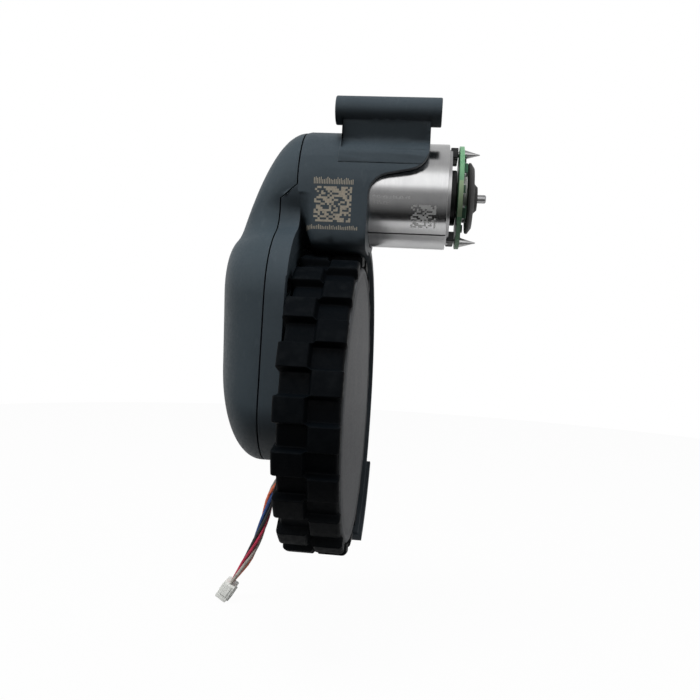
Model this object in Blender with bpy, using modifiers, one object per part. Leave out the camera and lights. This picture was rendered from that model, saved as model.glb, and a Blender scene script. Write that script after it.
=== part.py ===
"""Drive wheel module of a robot vacuum: arm, gearbox, motor with encoder, wheel and harness.

The origin is the centre of the pivot tube. +X runs along the pivot axis towards the hub cap,
+Z is up and +Y points from the front of the wheel to its back. All lengths are in metres.
"""
import math

import bmesh
import bpy
from mathutils import Matrix, Vector

# Pivot tube and the places of the two main axes
TUBE_RADIUS = 0.0032
TUBE_LENGTH = 0.0238
PIVOT_BORE_RADIUS = 0.0016
AXIS_SETBACK = 0.0100
MOTOR_DROP = 0.0168
ARCH_MARGIN = 0.0008

# Clearances
GAP = 0.0003
RUNNING_GAP = 0.0007

# Wheel
WHEEL_RADIUS = 0.0350
WHEEL_WIDTH = 0.0140
WHEEL_FACE_X = -0.0039
LUG_COUNT = 20
LUG_HEIGHT = 0.0018
LUG_SHARE = 0.52
ROW_STAGGER = 0.5
ROW_OVERLAP = 0.0001
TYRE_THICKNESS = 0.0036
LUG_ROOT = 0.0004
RIM_THICKNESS = 0.0016
TYRE_SHOULDER = 0.0007
TYRE_KEY_WIDTH = 0.0020
TYRE_KEY_HEIGHT = 0.0012
CAP_LIP = 0.0010
CAP_THICKNESS = 0.0012
CAP_CROWN = 0.00035
CAP_PEG_RADIUS = 0.0015
CAP_PEG_CIRCLE = 0.0180
CAP_PEG_COUNT = 4
WEB_THICKNESS = 0.0020
WEB_DEPTH = 0.0032
HUB_RADIUS = 0.0070
HUB_BORE = 0.0045
HUB_STEP = 0.0004
RIB_COUNT = 8
RIB_THICKNESS = 0.0012

# Axle and its two bearings
AXLE_RADIUS = 0.0025
AXLE_FLAT = 0.0020
BEARING_RADIUS = 0.0050
BEARING_WIDTH = 0.0040
SEAT_WALL = 0.0013
SPACER_RADIUS = 0.0035
AXLE_COLLAR_RADIUS = 0.0034
AXLE_SCREW_RADIUS = 0.0010
AXLE_SCREW_LENGTH = 0.0050
WHEEL_SCREW_HEAD = 0.0016

# Motor
FLUX_RING_RADIUS = 0.0122
FLUX_RING_WALL = 0.0009
FLUX_RING_SLIT = 0.0008
SLIT_ANGLE = -56.0
CAN_WALL = 0.0007
CAN_LENGTH = 0.0303
MOTOR_SEAT = 0.00365
BOSS_RADIUS = 0.0034
BOSS_HEIGHT = 0.0016
BUSH_RADIUS = 0.0024
BUSH_LENGTH = 0.0020
SHAFT_RADIUS = 0.0010
SHAFT_REAR_REACH = 0.0084
MAGNET_WALL = 0.0018
MAGNET_SHARE = 0.726
MAGNET_SPAN = 150.0
ARMATURE_SHARE = 0.594
FIELD_MIDDLE = 0.45
ARMATURE_POLES = 5
COMMUTATOR_RADIUS = 0.0026
COMMUTATOR_SHARE = 0.112
BRUSH_LENGTH = 0.0031
BRUSH_WIDTH = 0.0024
BRUSH_OFFSET = 0.0006
END_CAP_DEPTH = 0.0016
END_CAP_FLANGE = 0.0010
MOTOR_SCREW_CIRCLE = 0.0065
MOTOR_SCREW_ANGLE = 20.0
SCREW_RADIUS = 0.0009
SCREW_HEAD_RADIUS = 0.0018
SCREW_HEAD_HEIGHT = 0.0010

# Encoder
BOARD_RADIUS = 0.0119
BOARD_THICKNESS = 0.0010
BOARD_OFFSET = 0.0016
DISC_RADIUS = 0.0082
DISC_THICKNESS = 0.0015
DISC_OFFSET = 0.0038
DISC_HUB_RADIUS = 0.0031
DISC_HUB_HEIGHT = 0.0010
CARRIER_RADIUS = 0.0056
CARRIER_THICKNESS = 0.0006
TERMINAL_CIRCLE = 0.0104
TERMINAL_RADIUS = 0.0007
CONE_RADIUS = 0.0012
CONE_LENGTH = 0.0036
SENSOR_SPREAD = 0.0062
SENSOR_DROP = 0.0060
SENSOR_WIDTH = 0.0018
SENSOR_HEIGHT = 0.0016
SENSOR_THICKNESS = 0.0006

# Gearbox shell
WALL = 0.0014
COLLAR_WALL = 0.0016
FLUSH_STEP = 0.0002
BOX_DEPTH = 0.01575
LOBE_FRONT = 0.0245
LOBE_BACK = 0.0250
LOBE_BOTTOM = 0.0130
SHOULDER_DROP = 0.0270
BACK_SHOULDER_DROP = 0.0263
VALLEY_RADIUS = 0.0050
FRONT_ROUND = 0.0170
LOW_FRONT_ROUND = 0.0130
LOW_BACK_ROUND = 0.0110
BACK_ROUND = 0.0120
SEAM_UPPER = 0.00045
SEAM_LOWER = 0.00415
JOG_TOP = 0.0011
JOG_BOTTOM = 0.0043
ARC_STEPS = (9, 4, 5, 4, 4, 4)
DEPTH_SHARES = (0.0, 0.2, 0.42, 0.63, 0.8, 0.92, 1.0)
CROWN_START = 0.32
DOME_POWER = 2.2
SCREW_HOLE_DEPTH = 0.0050
SCREW_TAIL = 0.0006
PIN_SINK = 0.0005
PIN_TAIL = 0.0024

# Arm: neck, motor saddle, wheel guard and harness hooks
NECK_LEFT = 0.0101
SADDLE_RAISE = 0.0005
SADDLE_LEFT = 0.0105
SADDLE_BOTTOM = 0.0044
COLLAR_END_X = 0.0096
COLLAR_FRONT_X = -0.0034
COLLAR_HIGH = 0.0059
COLLAR_LOW = 0.0011
COLLAR_CURVE = 0.0050
GUARD_GAP = 0.0012
GUARD_WALL = 0.0016
GUARD_START = 95.0
TAIL_START = -29.0
TAIL_END = -68.0
TAIL_PROUD = 0.0015
HOOK_WIDTH = 0.0030
HOOK_THICKNESS = 0.0010

# Gear train: teeth, module and face width from the motor to the wheel
BACKLASH_SHARE = 0.16
MOTOR_TEETH = 10
GEAR_1_TEETH = 36
PINION_1_TEETH = 12
GEAR_2_TEETH = 34
PINION_2_TEETH = 12
GEAR_3_TEETH = 30
PINION_3_TEETH = 12
OUTPUT_TEETH = 26
MODULE_1 = 0.0005
MODULE_2 = 0.0006
MODULE_3 = 0.0007
MODULE_4 = 0.0008
FACE_1 = 0.0018
FACE_2 = 0.0016
FACE_3 = 0.0020
FACE_4 = 0.0028
LAYER_GAP = 0.0004
GEAR_1_LEAN = 10.0
GEAR_3_LEAN = -25.0
PIN_RADIUS = 0.0010
PIN_BOSS_RADIUS = 0.0022
COVER_BOSS_RADIUS = 0.0026

# Harness
SLEEVE_RADIUS = 0.0015
WIRE_RADIUS = 0.00045
WIRE_CIRCLE = 0.00105
WIRE_TURNS = 1.25
WIRE_END_ANGLE = 162.0
WIRE_POINTS = 24
SLEEVE_POINTS = 20
FAN_START = 0.86
PLUG_PITCH = 0.0011
PLUG_LENGTH = 0.0047
PLUG_WIDTH = 0.0070
PLUG_THICKNESS = 0.0033

# Derived places
MOTOR_AXIS = (AXIS_SETBACK, -MOTOR_DROP)
COLLAR_RADIUS = FLUX_RING_RADIUS + GAP + COLLAR_WALL
WHEEL_DROP = MOTOR_DROP + COLLAR_RADIUS + ARCH_MARGIN + WHEEL_RADIUS
WHEEL_AXIS = (AXIS_SETBACK, -WHEEL_DROP)
CAP_RADIUS = WHEEL_RADIUS - LUG_HEIGHT - CAP_LIP
WHEEL_INNER_X = WHEEL_FACE_X - WHEEL_WIDTH
BOX_FACE_X = WHEEL_INNER_X - RUNNING_GAP
WALL_INNER_X = BOX_FACE_X - WALL
CROWN_X = BOX_FACE_X - BOX_DEPTH
SEAM_UPPER_X = BOX_FACE_X - SEAM_UPPER
SEAM_LOWER_X = BOX_FACE_X - SEAM_LOWER
CAN_RADIUS = FLUX_RING_RADIUS - FLUX_RING_WALL - GAP
CAN_FRONT_X = SEAM_UPPER_X + MOTOR_SEAT
CAN_REAR_X = CAN_FRONT_X + CAN_LENGTH
CAN_BORE = CAN_RADIUS - CAN_WALL
GUARD_INNER = WHEEL_RADIUS + GUARD_GAP
GUARD_OUTER = GUARD_INNER + GUARD_WALL
LAYER_A = (WALL_INNER_X - LAYER_GAP, WALL_INNER_X - LAYER_GAP - FACE_4)
LAYER_B = (LAYER_A[1] - LAYER_GAP, LAYER_A[1] - LAYER_GAP - FACE_3)
LAYER_C = (LAYER_B[1] - LAYER_GAP, LAYER_B[1] - LAYER_GAP - FACE_2)
BEARING_SEAT_RADIUS = BEARING_RADIUS + GAP
BEARING_TUBE_RADIUS = BEARING_SEAT_RADIUS + SEAT_WALL
BEARING_TUBE_X = BOX_FACE_X + BEARING_WIDTH + GAP
INNER_BEARING_X = LAYER_B[1] - 2 * GAP
AXLE_LEFT_X = INNER_BEARING_X - BEARING_WIDTH
BOARD_X = CAN_REAR_X + BOARD_OFFSET
BOARD_FACE_X = BOARD_X + BOARD_THICKNESS
TYRE_BORE = WHEEL_RADIUS - LUG_HEIGHT - TYRE_THICKNESS
RIM_RADIUS = TYRE_BORE - GAP
WEB_X = WHEEL_FACE_X - WEB_DEPTH
HUB_LEFT_X = BEARING_TUBE_X + RUNNING_GAP
HUB_SEAT_X = WEB_X - WEB_THICKNESS / 2
AXLE_END_X = HUB_SEAT_X - GAP
SLEEVE_X = SEAM_UPPER_X - 0.0028
SLEEVE_BACK_Y = AXIS_SETBACK + LOBE_BACK + GAP + SLEEVE_RADIUS
PART_NAME = "robot_vacuum_wheel_module"


def clear_scene():
    for item in list(bpy.data.objects):
        bpy.data.objects.remove(item, do_unlink=True)


def new_collection(name):
    group = bpy.data.collections.new(name)
    bpy.context.scene.collection.children.link(group)
    return group


def material(name, colour, roughness, metallic=0.0):
    found = bpy.data.materials.get(name)
    if found:
        return found
    made = bpy.data.materials.new(name)
    made.use_nodes = True
    shader = made.node_tree.nodes["Principled BSDF"]
    shader.inputs["Base Color"].default_value = (*colour, 1.0)
    shader.inputs["Roughness"].default_value = roughness
    shader.inputs["Metallic"].default_value = metallic
    made.diffuse_color = (*colour, 1.0)
    return made


# Shape helpers


def clean(mesh):
    """Weld a mesh and turn its faces outwards."""
    work = bmesh.new()
    work.from_mesh(mesh)
    bmesh.ops.remove_doubles(work, verts=work.verts, dist=0.000001)
    bmesh.ops.recalc_face_normals(work, faces=work.faces)
    work.to_mesh(mesh)
    work.free()
    return mesh


def add_object(name, mesh):
    made = bpy.data.objects.new(name, mesh)
    PARTS.objects.link(made)
    return made


def as_mesh(source, name):
    """Replace a curve or a modified object by the mesh that it evaluates to."""
    bpy.context.view_layer.update()
    graph = bpy.context.evaluated_depsgraph_get()
    mesh = bpy.data.meshes.new_from_object(source.evaluated_get(graph))
    place = source.matrix_world.copy()
    bpy.data.objects.remove(source, do_unlink=True)
    made = add_object(name, clean(mesh))
    made.matrix_world = place
    return made


def extruded(name, loops, start, end, axis="X"):
    """Flat outline with holes, extruded from start to end along an axis.

    Loops hold (y, z) points for X, (x, z) points for Y and (x, y) points for Z.
    """
    curve = bpy.data.curves.new(name, "CURVE")
    curve.dimensions = "2D"
    curve.fill_mode = "BOTH"
    curve.extrude = abs(end - start) / 2
    for loop in loops:
        spline = curve.splines.new("POLY")
        spline.points.add(len(loop) - 1)
        for point, (u, v) in zip(spline.points, loop):
            point.co = (-v, u, 0, 1) if axis == "X" else (u, v, 0, 1)
        spline.use_cyclic_u = True
    made = bpy.data.objects.new(name, curve)
    PARTS.objects.link(made)
    middle = (start + end) / 2
    if axis == "X":
        made.matrix_world = Matrix.Translation((middle, 0, 0)) @ Matrix.Rotation(math.pi / 2, 4, "Y")
    elif axis == "Y":
        made.matrix_world = Matrix.Translation((0, middle, 0)) @ Matrix.Rotation(math.pi / 2, 4, "X")
    else:
        made.matrix_world = Matrix.Translation((0, 0, middle))
    return as_mesh(made, name)


def turned(name, profile, centre, steps=32, closed=True):
    """Profile of (radius, x) points turned round an axis parallel to X."""
    mesh = bpy.data.meshes.new(name)
    count = len(profile)
    edges = [(i, (i + 1) % count) for i in range(count if closed else count - 1)]
    mesh.from_pydata([(radius, 0, x) for radius, x in profile], edges, [])
    made = add_object(name, mesh)
    made.matrix_world = Matrix.Translation((0, *centre)) @ Matrix.Rotation(math.pi / 2, 4, "Y")
    screw = made.modifiers.new("turn", "SCREW")
    screw.axis = "Z"
    screw.steps = steps
    screw.render_steps = steps
    screw.use_merge_vertices = True
    screw.merge_threshold = 0.00001
    return as_mesh(made, name)


def rods(name, items, segments=24):
    """Cylinders along X in one mesh, each given as (start, end, radius, (y, z))."""
    work = bmesh.new()
    for start, end, radius, centre in items:
        place = Matrix.Translation(((start + end) / 2, *centre)) @ Matrix.Rotation(math.pi / 2, 4, "Y")
        bmesh.ops.create_cone(work, cap_ends=True, segments=segments, radius1=radius, radius2=radius,
                              depth=abs(end - start), matrix=place)
    mesh = bpy.data.meshes.new(name)
    work.to_mesh(mesh)
    work.free()
    return add_object(name, clean(mesh))


def block(name, low, high):
    """Box between two opposite corners."""
    work = bmesh.new()
    size = [b - a for a, b in zip(low, high)]
    middle = [(a + b) / 2 for a, b in zip(low, high)]
    bmesh.ops.create_cube(work, size=1.0, matrix=Matrix.Translation(middle) @ Matrix.Diagonal((*size, 1)))
    mesh = bpy.data.meshes.new(name)
    work.to_mesh(mesh)
    work.free()
    return add_object(name, clean(mesh))


def loft(name, sections):
    """Closed solid through rings of equal point count, each given as (x, [(y, z), ...])."""
    work = bmesh.new()
    rings = [[work.verts.new((x, y, z)) for y, z in ring] for x, ring in sections]
    for near, far in zip(rings, rings[1:]):
        for i in range(len(near)):
            j = (i + 1) % len(near)
            work.faces.new((near[i], near[j], far[j]))
            work.faces.new((near[i], far[j], far[i]))
    work.faces.new(rings[0])
    work.faces.new(rings[-1])
    mesh = bpy.data.meshes.new(name)
    work.to_mesh(mesh)
    work.free()
    return add_object(name, clean(mesh))


def boolean(target, other, operation):
    step = target.modifiers.new(other.name, "BOOLEAN")
    step.operation = operation
    step.solver = "EXACT"
    step.object = other
    PARTS.objects.unlink(other)
    CUTTERS.objects.link(other)
    other.hide_render = True
    other.display_type = "WIRE"


def cut(target, *others):
    for other in others:
        boolean(target, other, "DIFFERENCE")


def fuse(target, *others):
    for other in others:
        boolean(target, other, "UNION")


def finish(made, look):
    made.data.materials.clear()
    made.data.materials.append(look)
    made.data.shade_smooth()
    made.data.set_sharp_from_angle(angle=math.radians(35))
    return made


# Outline helpers


def circle_loop(radius, centre, segments=32):
    turn = 2 * math.pi / segments
    return [(centre[0] + radius * math.cos(i * turn), centre[1] + radius * math.sin(i * turn))
            for i in range(segments)]


def arc_points(radius, centre, start, end, steps):
    """Points on an arc between two angles in degrees, both ends included."""
    angles = [math.radians(start + (end - start) * i / steps) for i in range(steps + 1)]
    return [(centre[0] + radius * math.cos(a), centre[1] + radius * math.sin(a)) for a in angles]


def rounded_loop(corners, steps=5):
    """Polygon of (u, v, radius) corners with each corner rounded by its radius."""
    loop = []
    count = len(corners)
    for i, (u, v, radius) in enumerate(corners):
        here = Vector((u, v))
        before = (Vector(corners[i - 1][:2]) - here).normalized()
        after = (Vector(corners[(i + 1) % count][:2]) - here).normalized()
        if radius == 0:
            loop.append((u, v))
            continue
        half = before.angle(after) / 2
        centre = here + (before + after).normalized() * (radius / math.sin(half))
        first = here + before * (radius / math.tan(half)) - centre
        last = here + after * (radius / math.tan(half)) - centre
        sweep = first.angle_signed(last)
        for step in range(steps + 1):
            turn = -sweep * step / steps
            point = centre + Matrix.Rotation(turn, 2) @ first
            loop.append((point.x, point.y))
    return loop


def double_d(radius, flat, centre, segments=24):
    """Round outline with two flats, above and below."""
    loop = []
    for y, z in circle_loop(radius, (0, 0), segments):
        loop.append((centre[0] + y, centre[1] + max(-flat, min(flat, z))))
    return loop


def tangent_normal(first, second):
    """Outward normal of the line that runs round the outside of two signed circles."""
    along = Vector((second[0] - first[0], second[1] - first[1]))
    reach = along.length
    along.normalize()
    right = Vector((along.y, -along.x))
    lean = (first[2] - second[2]) / reach
    lean = max(-1.0, min(1.0, lean))
    return along * lean + right * math.sqrt(1 - lean * lean)


def belt(circles, steps):
    """Outline round a ring of (y, z, radius) circles; a negative radius is a hollow fillet."""
    loop = []
    count = len(circles)
    for i, (y, z, radius) in enumerate(circles):
        start = tangent_normal(circles[i - 1], circles[i])
        end = tangent_normal(circles[i], circles[(i + 1) % count])
        first = math.atan2(start.y, start.x)
        sweep = math.atan2(end.y, end.x) - first
        if radius > 0:
            sweep = (sweep + 0.5) % (2 * math.pi) - 0.5
        else:
            sweep = -((0.5 - sweep) % (2 * math.pi) - 0.5)
        skip = 0 if radius > 0 else 1
        for step in range(skip, steps[i] + 1 - skip):
            angle = first + sweep * step / steps[i]
            loop.append((y + radius * math.cos(angle), z + radius * math.sin(angle)))
    return loop


def valley_circle(upper, lower, radius):
    """Hollow fillet that touches two round lobes from the front."""
    reach_1 = upper[2] + radius
    reach_2 = lower[2] + radius
    along = Vector((lower[0] - upper[0], lower[1] - upper[1]))
    span = along.length
    along.normalize()
    right = Vector((along.y, -along.x))
    share = (span ** 2 + reach_1 ** 2 - reach_2 ** 2) / (2 * span)
    rise = math.sqrt(max(0.0, reach_1 ** 2 - share ** 2))
    centre = Vector(upper[:2]) + along * share + right * rise
    return (centre.x, centre.y, -radius)


# Gearbox form


def rim_circles():
    """Circles of the shell's outline beside the wheel, from the motor lobe round the front."""
    front = AXIS_SETBACK - LOBE_FRONT
    back = AXIS_SETBACK + LOBE_BACK
    bottom = -WHEEL_DROP - LOBE_BOTTOM
    return [(*MOTOR_AXIS, COLLAR_RADIUS - FLUSH_STEP),
            (front + FRONT_ROUND, -MOTOR_DROP - SHOULDER_DROP, FRONT_ROUND),
            (front + LOW_FRONT_ROUND, bottom + LOW_FRONT_ROUND, LOW_FRONT_ROUND),
            (back - LOW_BACK_ROUND, bottom + LOW_BACK_ROUND, LOW_BACK_ROUND),
            (back - BACK_ROUND, -MOTOR_DROP - BACK_SHOULDER_DROP, BACK_ROUND)]


# Move and final radius of each rim circle on the flat outer face
CROWN_MOVES = ((-0.0013, -0.0274, 0.0100),
               (0.0029, 0.0035, 0.0069),
               (0.0097, 0.0150, 0.0059),
               (-0.0050, 0.0152, 0.0065),
               (-0.0040, -0.0010, 0.0080))


# Each cover screw's distance in from the lobe's side, and its height from the bottom or shoulder
SCREW_INSETS = ((0.0008, 0.0020),
                (0.0030, 0.0030),
                (0.0045, 0.0035),
                (0.0030, 0.0010))


def crown_share(depth):
    """How far the lower lobe has closed in at a share of the depth."""
    rise = max(0.0, (depth - CROWN_START) / (1 - CROWN_START))
    return 1 - math.sqrt(1 - min(1.0, rise) ** 2)


def dome_share(depth):
    """How far the motor lobe has sunk into the lower lobe at a share of the depth."""
    return depth ** DOME_POWER


def box_outline(depth, inset):
    low = crown_share(depth)
    shares = (dome_share(depth), low, low, low, low)
    circles = []
    for (y, z, radius), (dy, dz, last), share in zip(rim_circles(), CROWN_MOVES, shares):
        circles.append((y + dy * share, z + dz * share, radius + (last - radius) * share))
    valley = VALLEY_RADIUS * (1 + 5 * dome_share(depth))
    circles.insert(1, valley_circle(circles[0], circles[1], valley))
    return belt([(y, z, radius - inset) for y, z, radius in circles], ARC_STEPS)


def box_loft(name, rim_x, crown_x, inset):
    sections = []
    for share in DEPTH_SHARES:
        sections.append((rim_x + (crown_x - rim_x) * share, box_outline(share, inset)))
    return loft(name, sections)


def seam_cutter(name, offset, far_x):
    """Prism on one side of the stepped seam, moved along X by the offset."""
    top = TUBE_RADIUS * 2
    bottom = -WHEEL_DROP - WHEEL_RADIUS
    points = [(SEAM_UPPER_X + offset, top),
              (SEAM_UPPER_X + offset, -MOTOR_DROP - JOG_TOP),
              (SEAM_LOWER_X + offset, -MOTOR_DROP - JOG_BOTTOM),
              (SEAM_LOWER_X + offset, bottom),
              (far_x, bottom),
              (far_x, top)]
    half = WHEEL_RADIUS * 2
    return extruded(name, [points], -half, half, axis="Y")


# Gear train


def gear_centres():
    """Axes of the three compound gears, folded so that they fit the waist of the shell."""
    reach_1 = MODULE_1 * (MOTOR_TEETH + GEAR_1_TEETH) / 2
    reach_2 = MODULE_2 * (PINION_1_TEETH + GEAR_2_TEETH) / 2
    reach_3 = MODULE_3 * (PINION_2_TEETH + GEAR_3_TEETH) / 2
    reach_4 = MODULE_4 * (PINION_3_TEETH + OUTPUT_TEETH) / 2
    lean_1 = math.radians(GEAR_1_LEAN)
    lean_3 = math.radians(GEAR_3_LEAN)
    first = Vector(MOTOR_AXIS) + reach_1 * Vector((math.sin(lean_1), -math.cos(lean_1)))
    third = Vector(WHEEL_AXIS) + reach_4 * Vector((math.sin(lean_3), math.cos(lean_3)))
    along = third - first
    span = along.length
    along.normalize()
    share = (span ** 2 + reach_2 ** 2 - reach_3 ** 2) / (2 * span)
    rise = math.sqrt(max(0.0, reach_2 ** 2 - share ** 2))
    second = first + along * share + Vector((-along.y, along.x)) * rise
    return [tuple(first), tuple(second), tuple(third)]


def gear_loop(teeth, module, centre, phase):
    """Toothed outline with one tooth centred on the phase angle."""
    tip = module * (teeth + 2) / 2
    root = module * (teeth - 2.5) / 2
    pitch = 2 * math.pi / teeth
    half = pitch / 4 * (1 - BACKLASH_SHARE)
    loop = []
    for i in range(teeth):
        middle = phase + i * pitch
        for radius, offset in ((root, -1.25), (tip, -0.45), (tip, 0.45), (root, 1.25)):
            angle = middle + offset * half
            loop.append((centre[0] + radius * math.cos(angle), centre[1] + radius * math.sin(angle)))
    return loop


def mesh_phase(phase, teeth, next_teeth, centre, next_centre):
    """Phase of the next gear so that its spaces meet the teeth of this one."""
    direction = math.atan2(next_centre[1] - centre[1], next_centre[0] - centre[0])
    share = ((direction - phase) * teeth / (2 * math.pi)) % 1.0
    return direction + math.pi + (share + 0.5) * 2 * math.pi / next_teeth


def gear_wheel(name, teeth, module, centre, phase, span, bore):
    return extruded(name, [gear_loop(teeth, module, centre, phase), bore], span[0], span[1])


# Arm and cover


def cover_screw_places():
    """Screw axes near the four rounded corners of the lower lobe."""
    front = AXIS_SETBACK - LOBE_FRONT
    back = AXIS_SETBACK + LOBE_BACK
    bottom = -WHEEL_DROP - LOBE_BOTTOM
    inset = WALL + COVER_BOSS_RADIUS
    high_front, low_front, low_back, high_back = SCREW_INSETS
    return [(front + inset + high_front[0], -MOTOR_DROP - SHOULDER_DROP + high_front[1]),
            (front + inset + low_front[0], bottom + inset + low_front[1]),
            (back - inset - low_back[0], bottom + inset + low_back[1]),
            (back - inset - high_back[0], -MOTOR_DROP - BACK_SHOULDER_DROP + high_back[1])]


def arm_bosses():
    """Bosses on the wall behind the wheel, for the cover screws and the middle gear's pin."""
    start = BOX_FACE_X + WALL
    end = SEAM_LOWER_X - WALL
    bosses = [(start, end, COVER_BOSS_RADIUS, place) for place in cover_screw_places()]
    bosses.append((start, end, PIN_BOSS_RADIUS, gear_centres()[1]))
    return bosses


def cover_bosses():
    """Bosses inside the cover, for its screws, the gear pins and the inner axle bearing."""
    far = CROWN_X - WALL
    bosses = [(SEAM_LOWER_X + WALL, far, COVER_BOSS_RADIUS, place) for place in cover_screw_places()]
    for place, left in zip(gear_centres(), (LAYER_C[1], LAYER_C[1], LAYER_B[1])):
        bosses.append((left - GAP, far, PIN_BOSS_RADIUS, place))
    bosses.append((INNER_BEARING_X + GAP, far, BEARING_TUBE_RADIUS, WHEEL_AXIS))
    return bosses


def make_cavity(name, rim_x, bosses):
    """Hollow of the gearbox, less the bosses that stand in it."""
    cavity = box_loft(name, rim_x, CROWN_X + WALL, WALL)
    cut(cavity, rods(name + "_bosses", bosses, segments=12))
    return cavity


def shell_holes(name):
    """Blind holes for the cover screws, the gear pins and the inner axle bearing."""
    holes = []
    for place in cover_screw_places():
        holes.append((BOX_FACE_X + WALL, SEAM_LOWER_X - SCREW_HOLE_DEPTH, SCREW_RADIUS + GAP, place))
    for place in gear_centres():
        holes.append((BOX_FACE_X - PIN_SINK, LAYER_C[1] - PIN_TAIL, PIN_RADIUS + GAP, place))
    return rods(name, holes, segments=12)


def guard_ring(name, start, end, inner, outer, x_from, x_to, steps):
    outline = arc_points(outer, WHEEL_AXIS, start, end, steps)
    outline += arc_points(inner, WHEEL_AXIS, end, start, steps)
    return extruded(name, [outline], x_from, x_to)


def arm_neck():
    """Web from the pivot tube down and back to the motor saddle."""
    top = -TUBE_RADIUS * 0.25
    saddle_front = AXIS_SETBACK - COLLAR_RADIUS * 0.86
    outline = [(-TUBE_RADIUS * 0.95, top),
               (saddle_front, -MOTOR_DROP + COLLAR_RADIUS * 0.40),
               (AXIS_SETBACK, -MOTOR_DROP + COLLAR_RADIUS * 0.92),
               (AXIS_SETBACK - COLLAR_RADIUS * 0.12, -MOTOR_DROP + COLLAR_RADIUS),
               (TUBE_RADIUS * 0.85, TUBE_RADIUS * 0.5)]
    return extruded("neck", [outline], -NECK_LEFT, COLLAR_END_X + WALL)


def collar_trim():
    """Removes the front and lower part of the collar along its S-shaped edge."""
    high = -MOTOR_DROP + COLLAR_HIGH
    low = -MOTOR_DROP + COLLAR_LOW
    bottom = -WHEEL_DROP - GUARD_OUTER - WALL
    top = TUBE_RADIUS * 2
    far = COLLAR_END_X + COLLAR_RADIUS
    corners = [(COLLAR_END_X, top, 0),
               (COLLAR_END_X, high - 0.0020, COLLAR_CURVE),
               (COLLAR_FRONT_X, low, COLLAR_CURVE),
               (COLLAR_FRONT_X, bottom, 0),
               (far, bottom, 0),
               (far, top, 0)]
    half = GUARD_OUTER + WALL
    return extruded("collar_trim", [rounded_loop(corners)], AXIS_SETBACK - half, AXIS_SETBACK + half, axis="Y")


def harness_hooks(arm):
    """Two hooks that hold the harness against the back of the gearbox."""
    inner = SLEEVE_BACK_Y + SLEEVE_RADIUS + GAP
    tip = SLEEVE_X - SLEEVE_RADIUS - GAP
    outline = [(BOX_FACE_X - WALL / 2, inner),
               (BOX_FACE_X - WALL / 2, inner + HOOK_THICKNESS),
               (tip - HOOK_THICKNESS, inner + HOOK_THICKNESS),
               (tip - HOOK_THICKNESS, SLEEVE_BACK_Y),
               (tip, SLEEVE_BACK_Y),
               (tip, inner)]
    for number, height in enumerate((-WHEEL_DROP + 0.0120, -WHEEL_DROP - 0.0050), 1):
        fuse(arm, extruded(f"hook_{number}", [outline], height, height - HOOK_WIDTH, axis="Z"))


def guard_web():
    """Flat wall behind the wheel that joins the guard to the gearbox."""
    outline = arc_points(GUARD_OUTER - GUARD_WALL / 2, WHEEL_AXIS, 60.0, TAIL_END, 24)
    back = AXIS_SETBACK + LOBE_BACK
    bottom = -WHEEL_DROP - LOBE_BOTTOM
    outline += [(AXIS_SETBACK + LOBE_BACK * 0.4, bottom + WALL),
                (back - LOW_BACK_ROUND, bottom + LOW_BACK_ROUND),
                (back - BACK_ROUND, -MOTOR_DROP - BACK_SHOULDER_DROP)]
    return extruded("guard_web", [outline], BOX_FACE_X - WALL / 20, WALL_INNER_X + WALL / 20)


def make_arm(look):
    arm = box_loft("arm_housing", BOX_FACE_X + FLUSH_STEP, CROWN_X, 0.0)
    cut(arm, seam_cutter("beyond_seam", 0.0, CROWN_X - WALL))
    fuse(arm, rods("collar", [(SEAM_UPPER_X, COLLAR_END_X + WALL, COLLAR_RADIUS, MOTOR_AXIS)], 32))
    saddle = rods("saddle", [(-SADDLE_LEFT, COLLAR_END_X + 2 * WALL, COLLAR_RADIUS + SADDLE_RAISE, MOTOR_AXIS)], 40)
    below = -MOTOR_DROP + SADDLE_BOTTOM
    half = WHEEL_RADIUS
    cut(saddle, block("saddle_floor", (-half, -half, below - half), (half, half, below)))
    fuse(arm, saddle)
    fuse(arm, arm_neck())
    fuse(arm, guard_ring("guard", GUARD_START, TAIL_END, GUARD_INNER - GAP, GUARD_OUTER,
                         BOX_FACE_X - WALL / 2, COLLAR_FRONT_X + WALL, 22))
    fuse(arm, guard_web())
    cut(arm, collar_trim())
    cut(arm, rods("wheel_arch", [(BOX_FACE_X, -BOX_FACE_X, GUARD_INNER, WHEEL_AXIS)], 48))
    fuse(arm, guard_ring("tail", TAIL_START, TAIL_END - 1, GUARD_INNER + GAP, GUARD_OUTER + GAP,
                         COLLAR_FRONT_X - WALL, WHEEL_FACE_X + TAIL_PROUD, 8))
    fuse(arm, rods("pivot_tube", [(-TUBE_LENGTH / 2, TUBE_LENGTH / 2, TUBE_RADIUS, (0, 0))], 24))
    harness_hooks(arm)
    cut(arm, make_cavity("arm_cavity", WALL_INNER_X, arm_bosses()))
    fuse(arm, rods("bearing_tube", [(WALL_INNER_X + WALL / 4, BEARING_TUBE_X, BEARING_TUBE_RADIUS,
                                     WHEEL_AXIS)], 24))
    cut(arm, rods("bearing_seat", [(BOX_FACE_X, BEARING_TUBE_X + WALL, BEARING_SEAT_RADIUS, WHEEL_AXIS)], 24))
    cut(arm, rods("motor_bore", [(CAN_FRONT_X - GAP, COLLAR_END_X + 2 * WALL, FLUX_RING_RADIUS + GAP,
                                  MOTOR_AXIS)], 40))
    cut(arm, rods("through_holes", arm_holes(), 12))
    cut(arm, rods("screw_sinks", arm_sinks(), 12))
    cut(arm, shell_holes("arm_blind_holes"))
    return finish(arm, look)


def motor_screw_places():
    return arc_points(MOTOR_SCREW_CIRCLE, MOTOR_AXIS, MOTOR_SCREW_ANGLE, MOTOR_SCREW_ANGLE + 180, 1)


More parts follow.
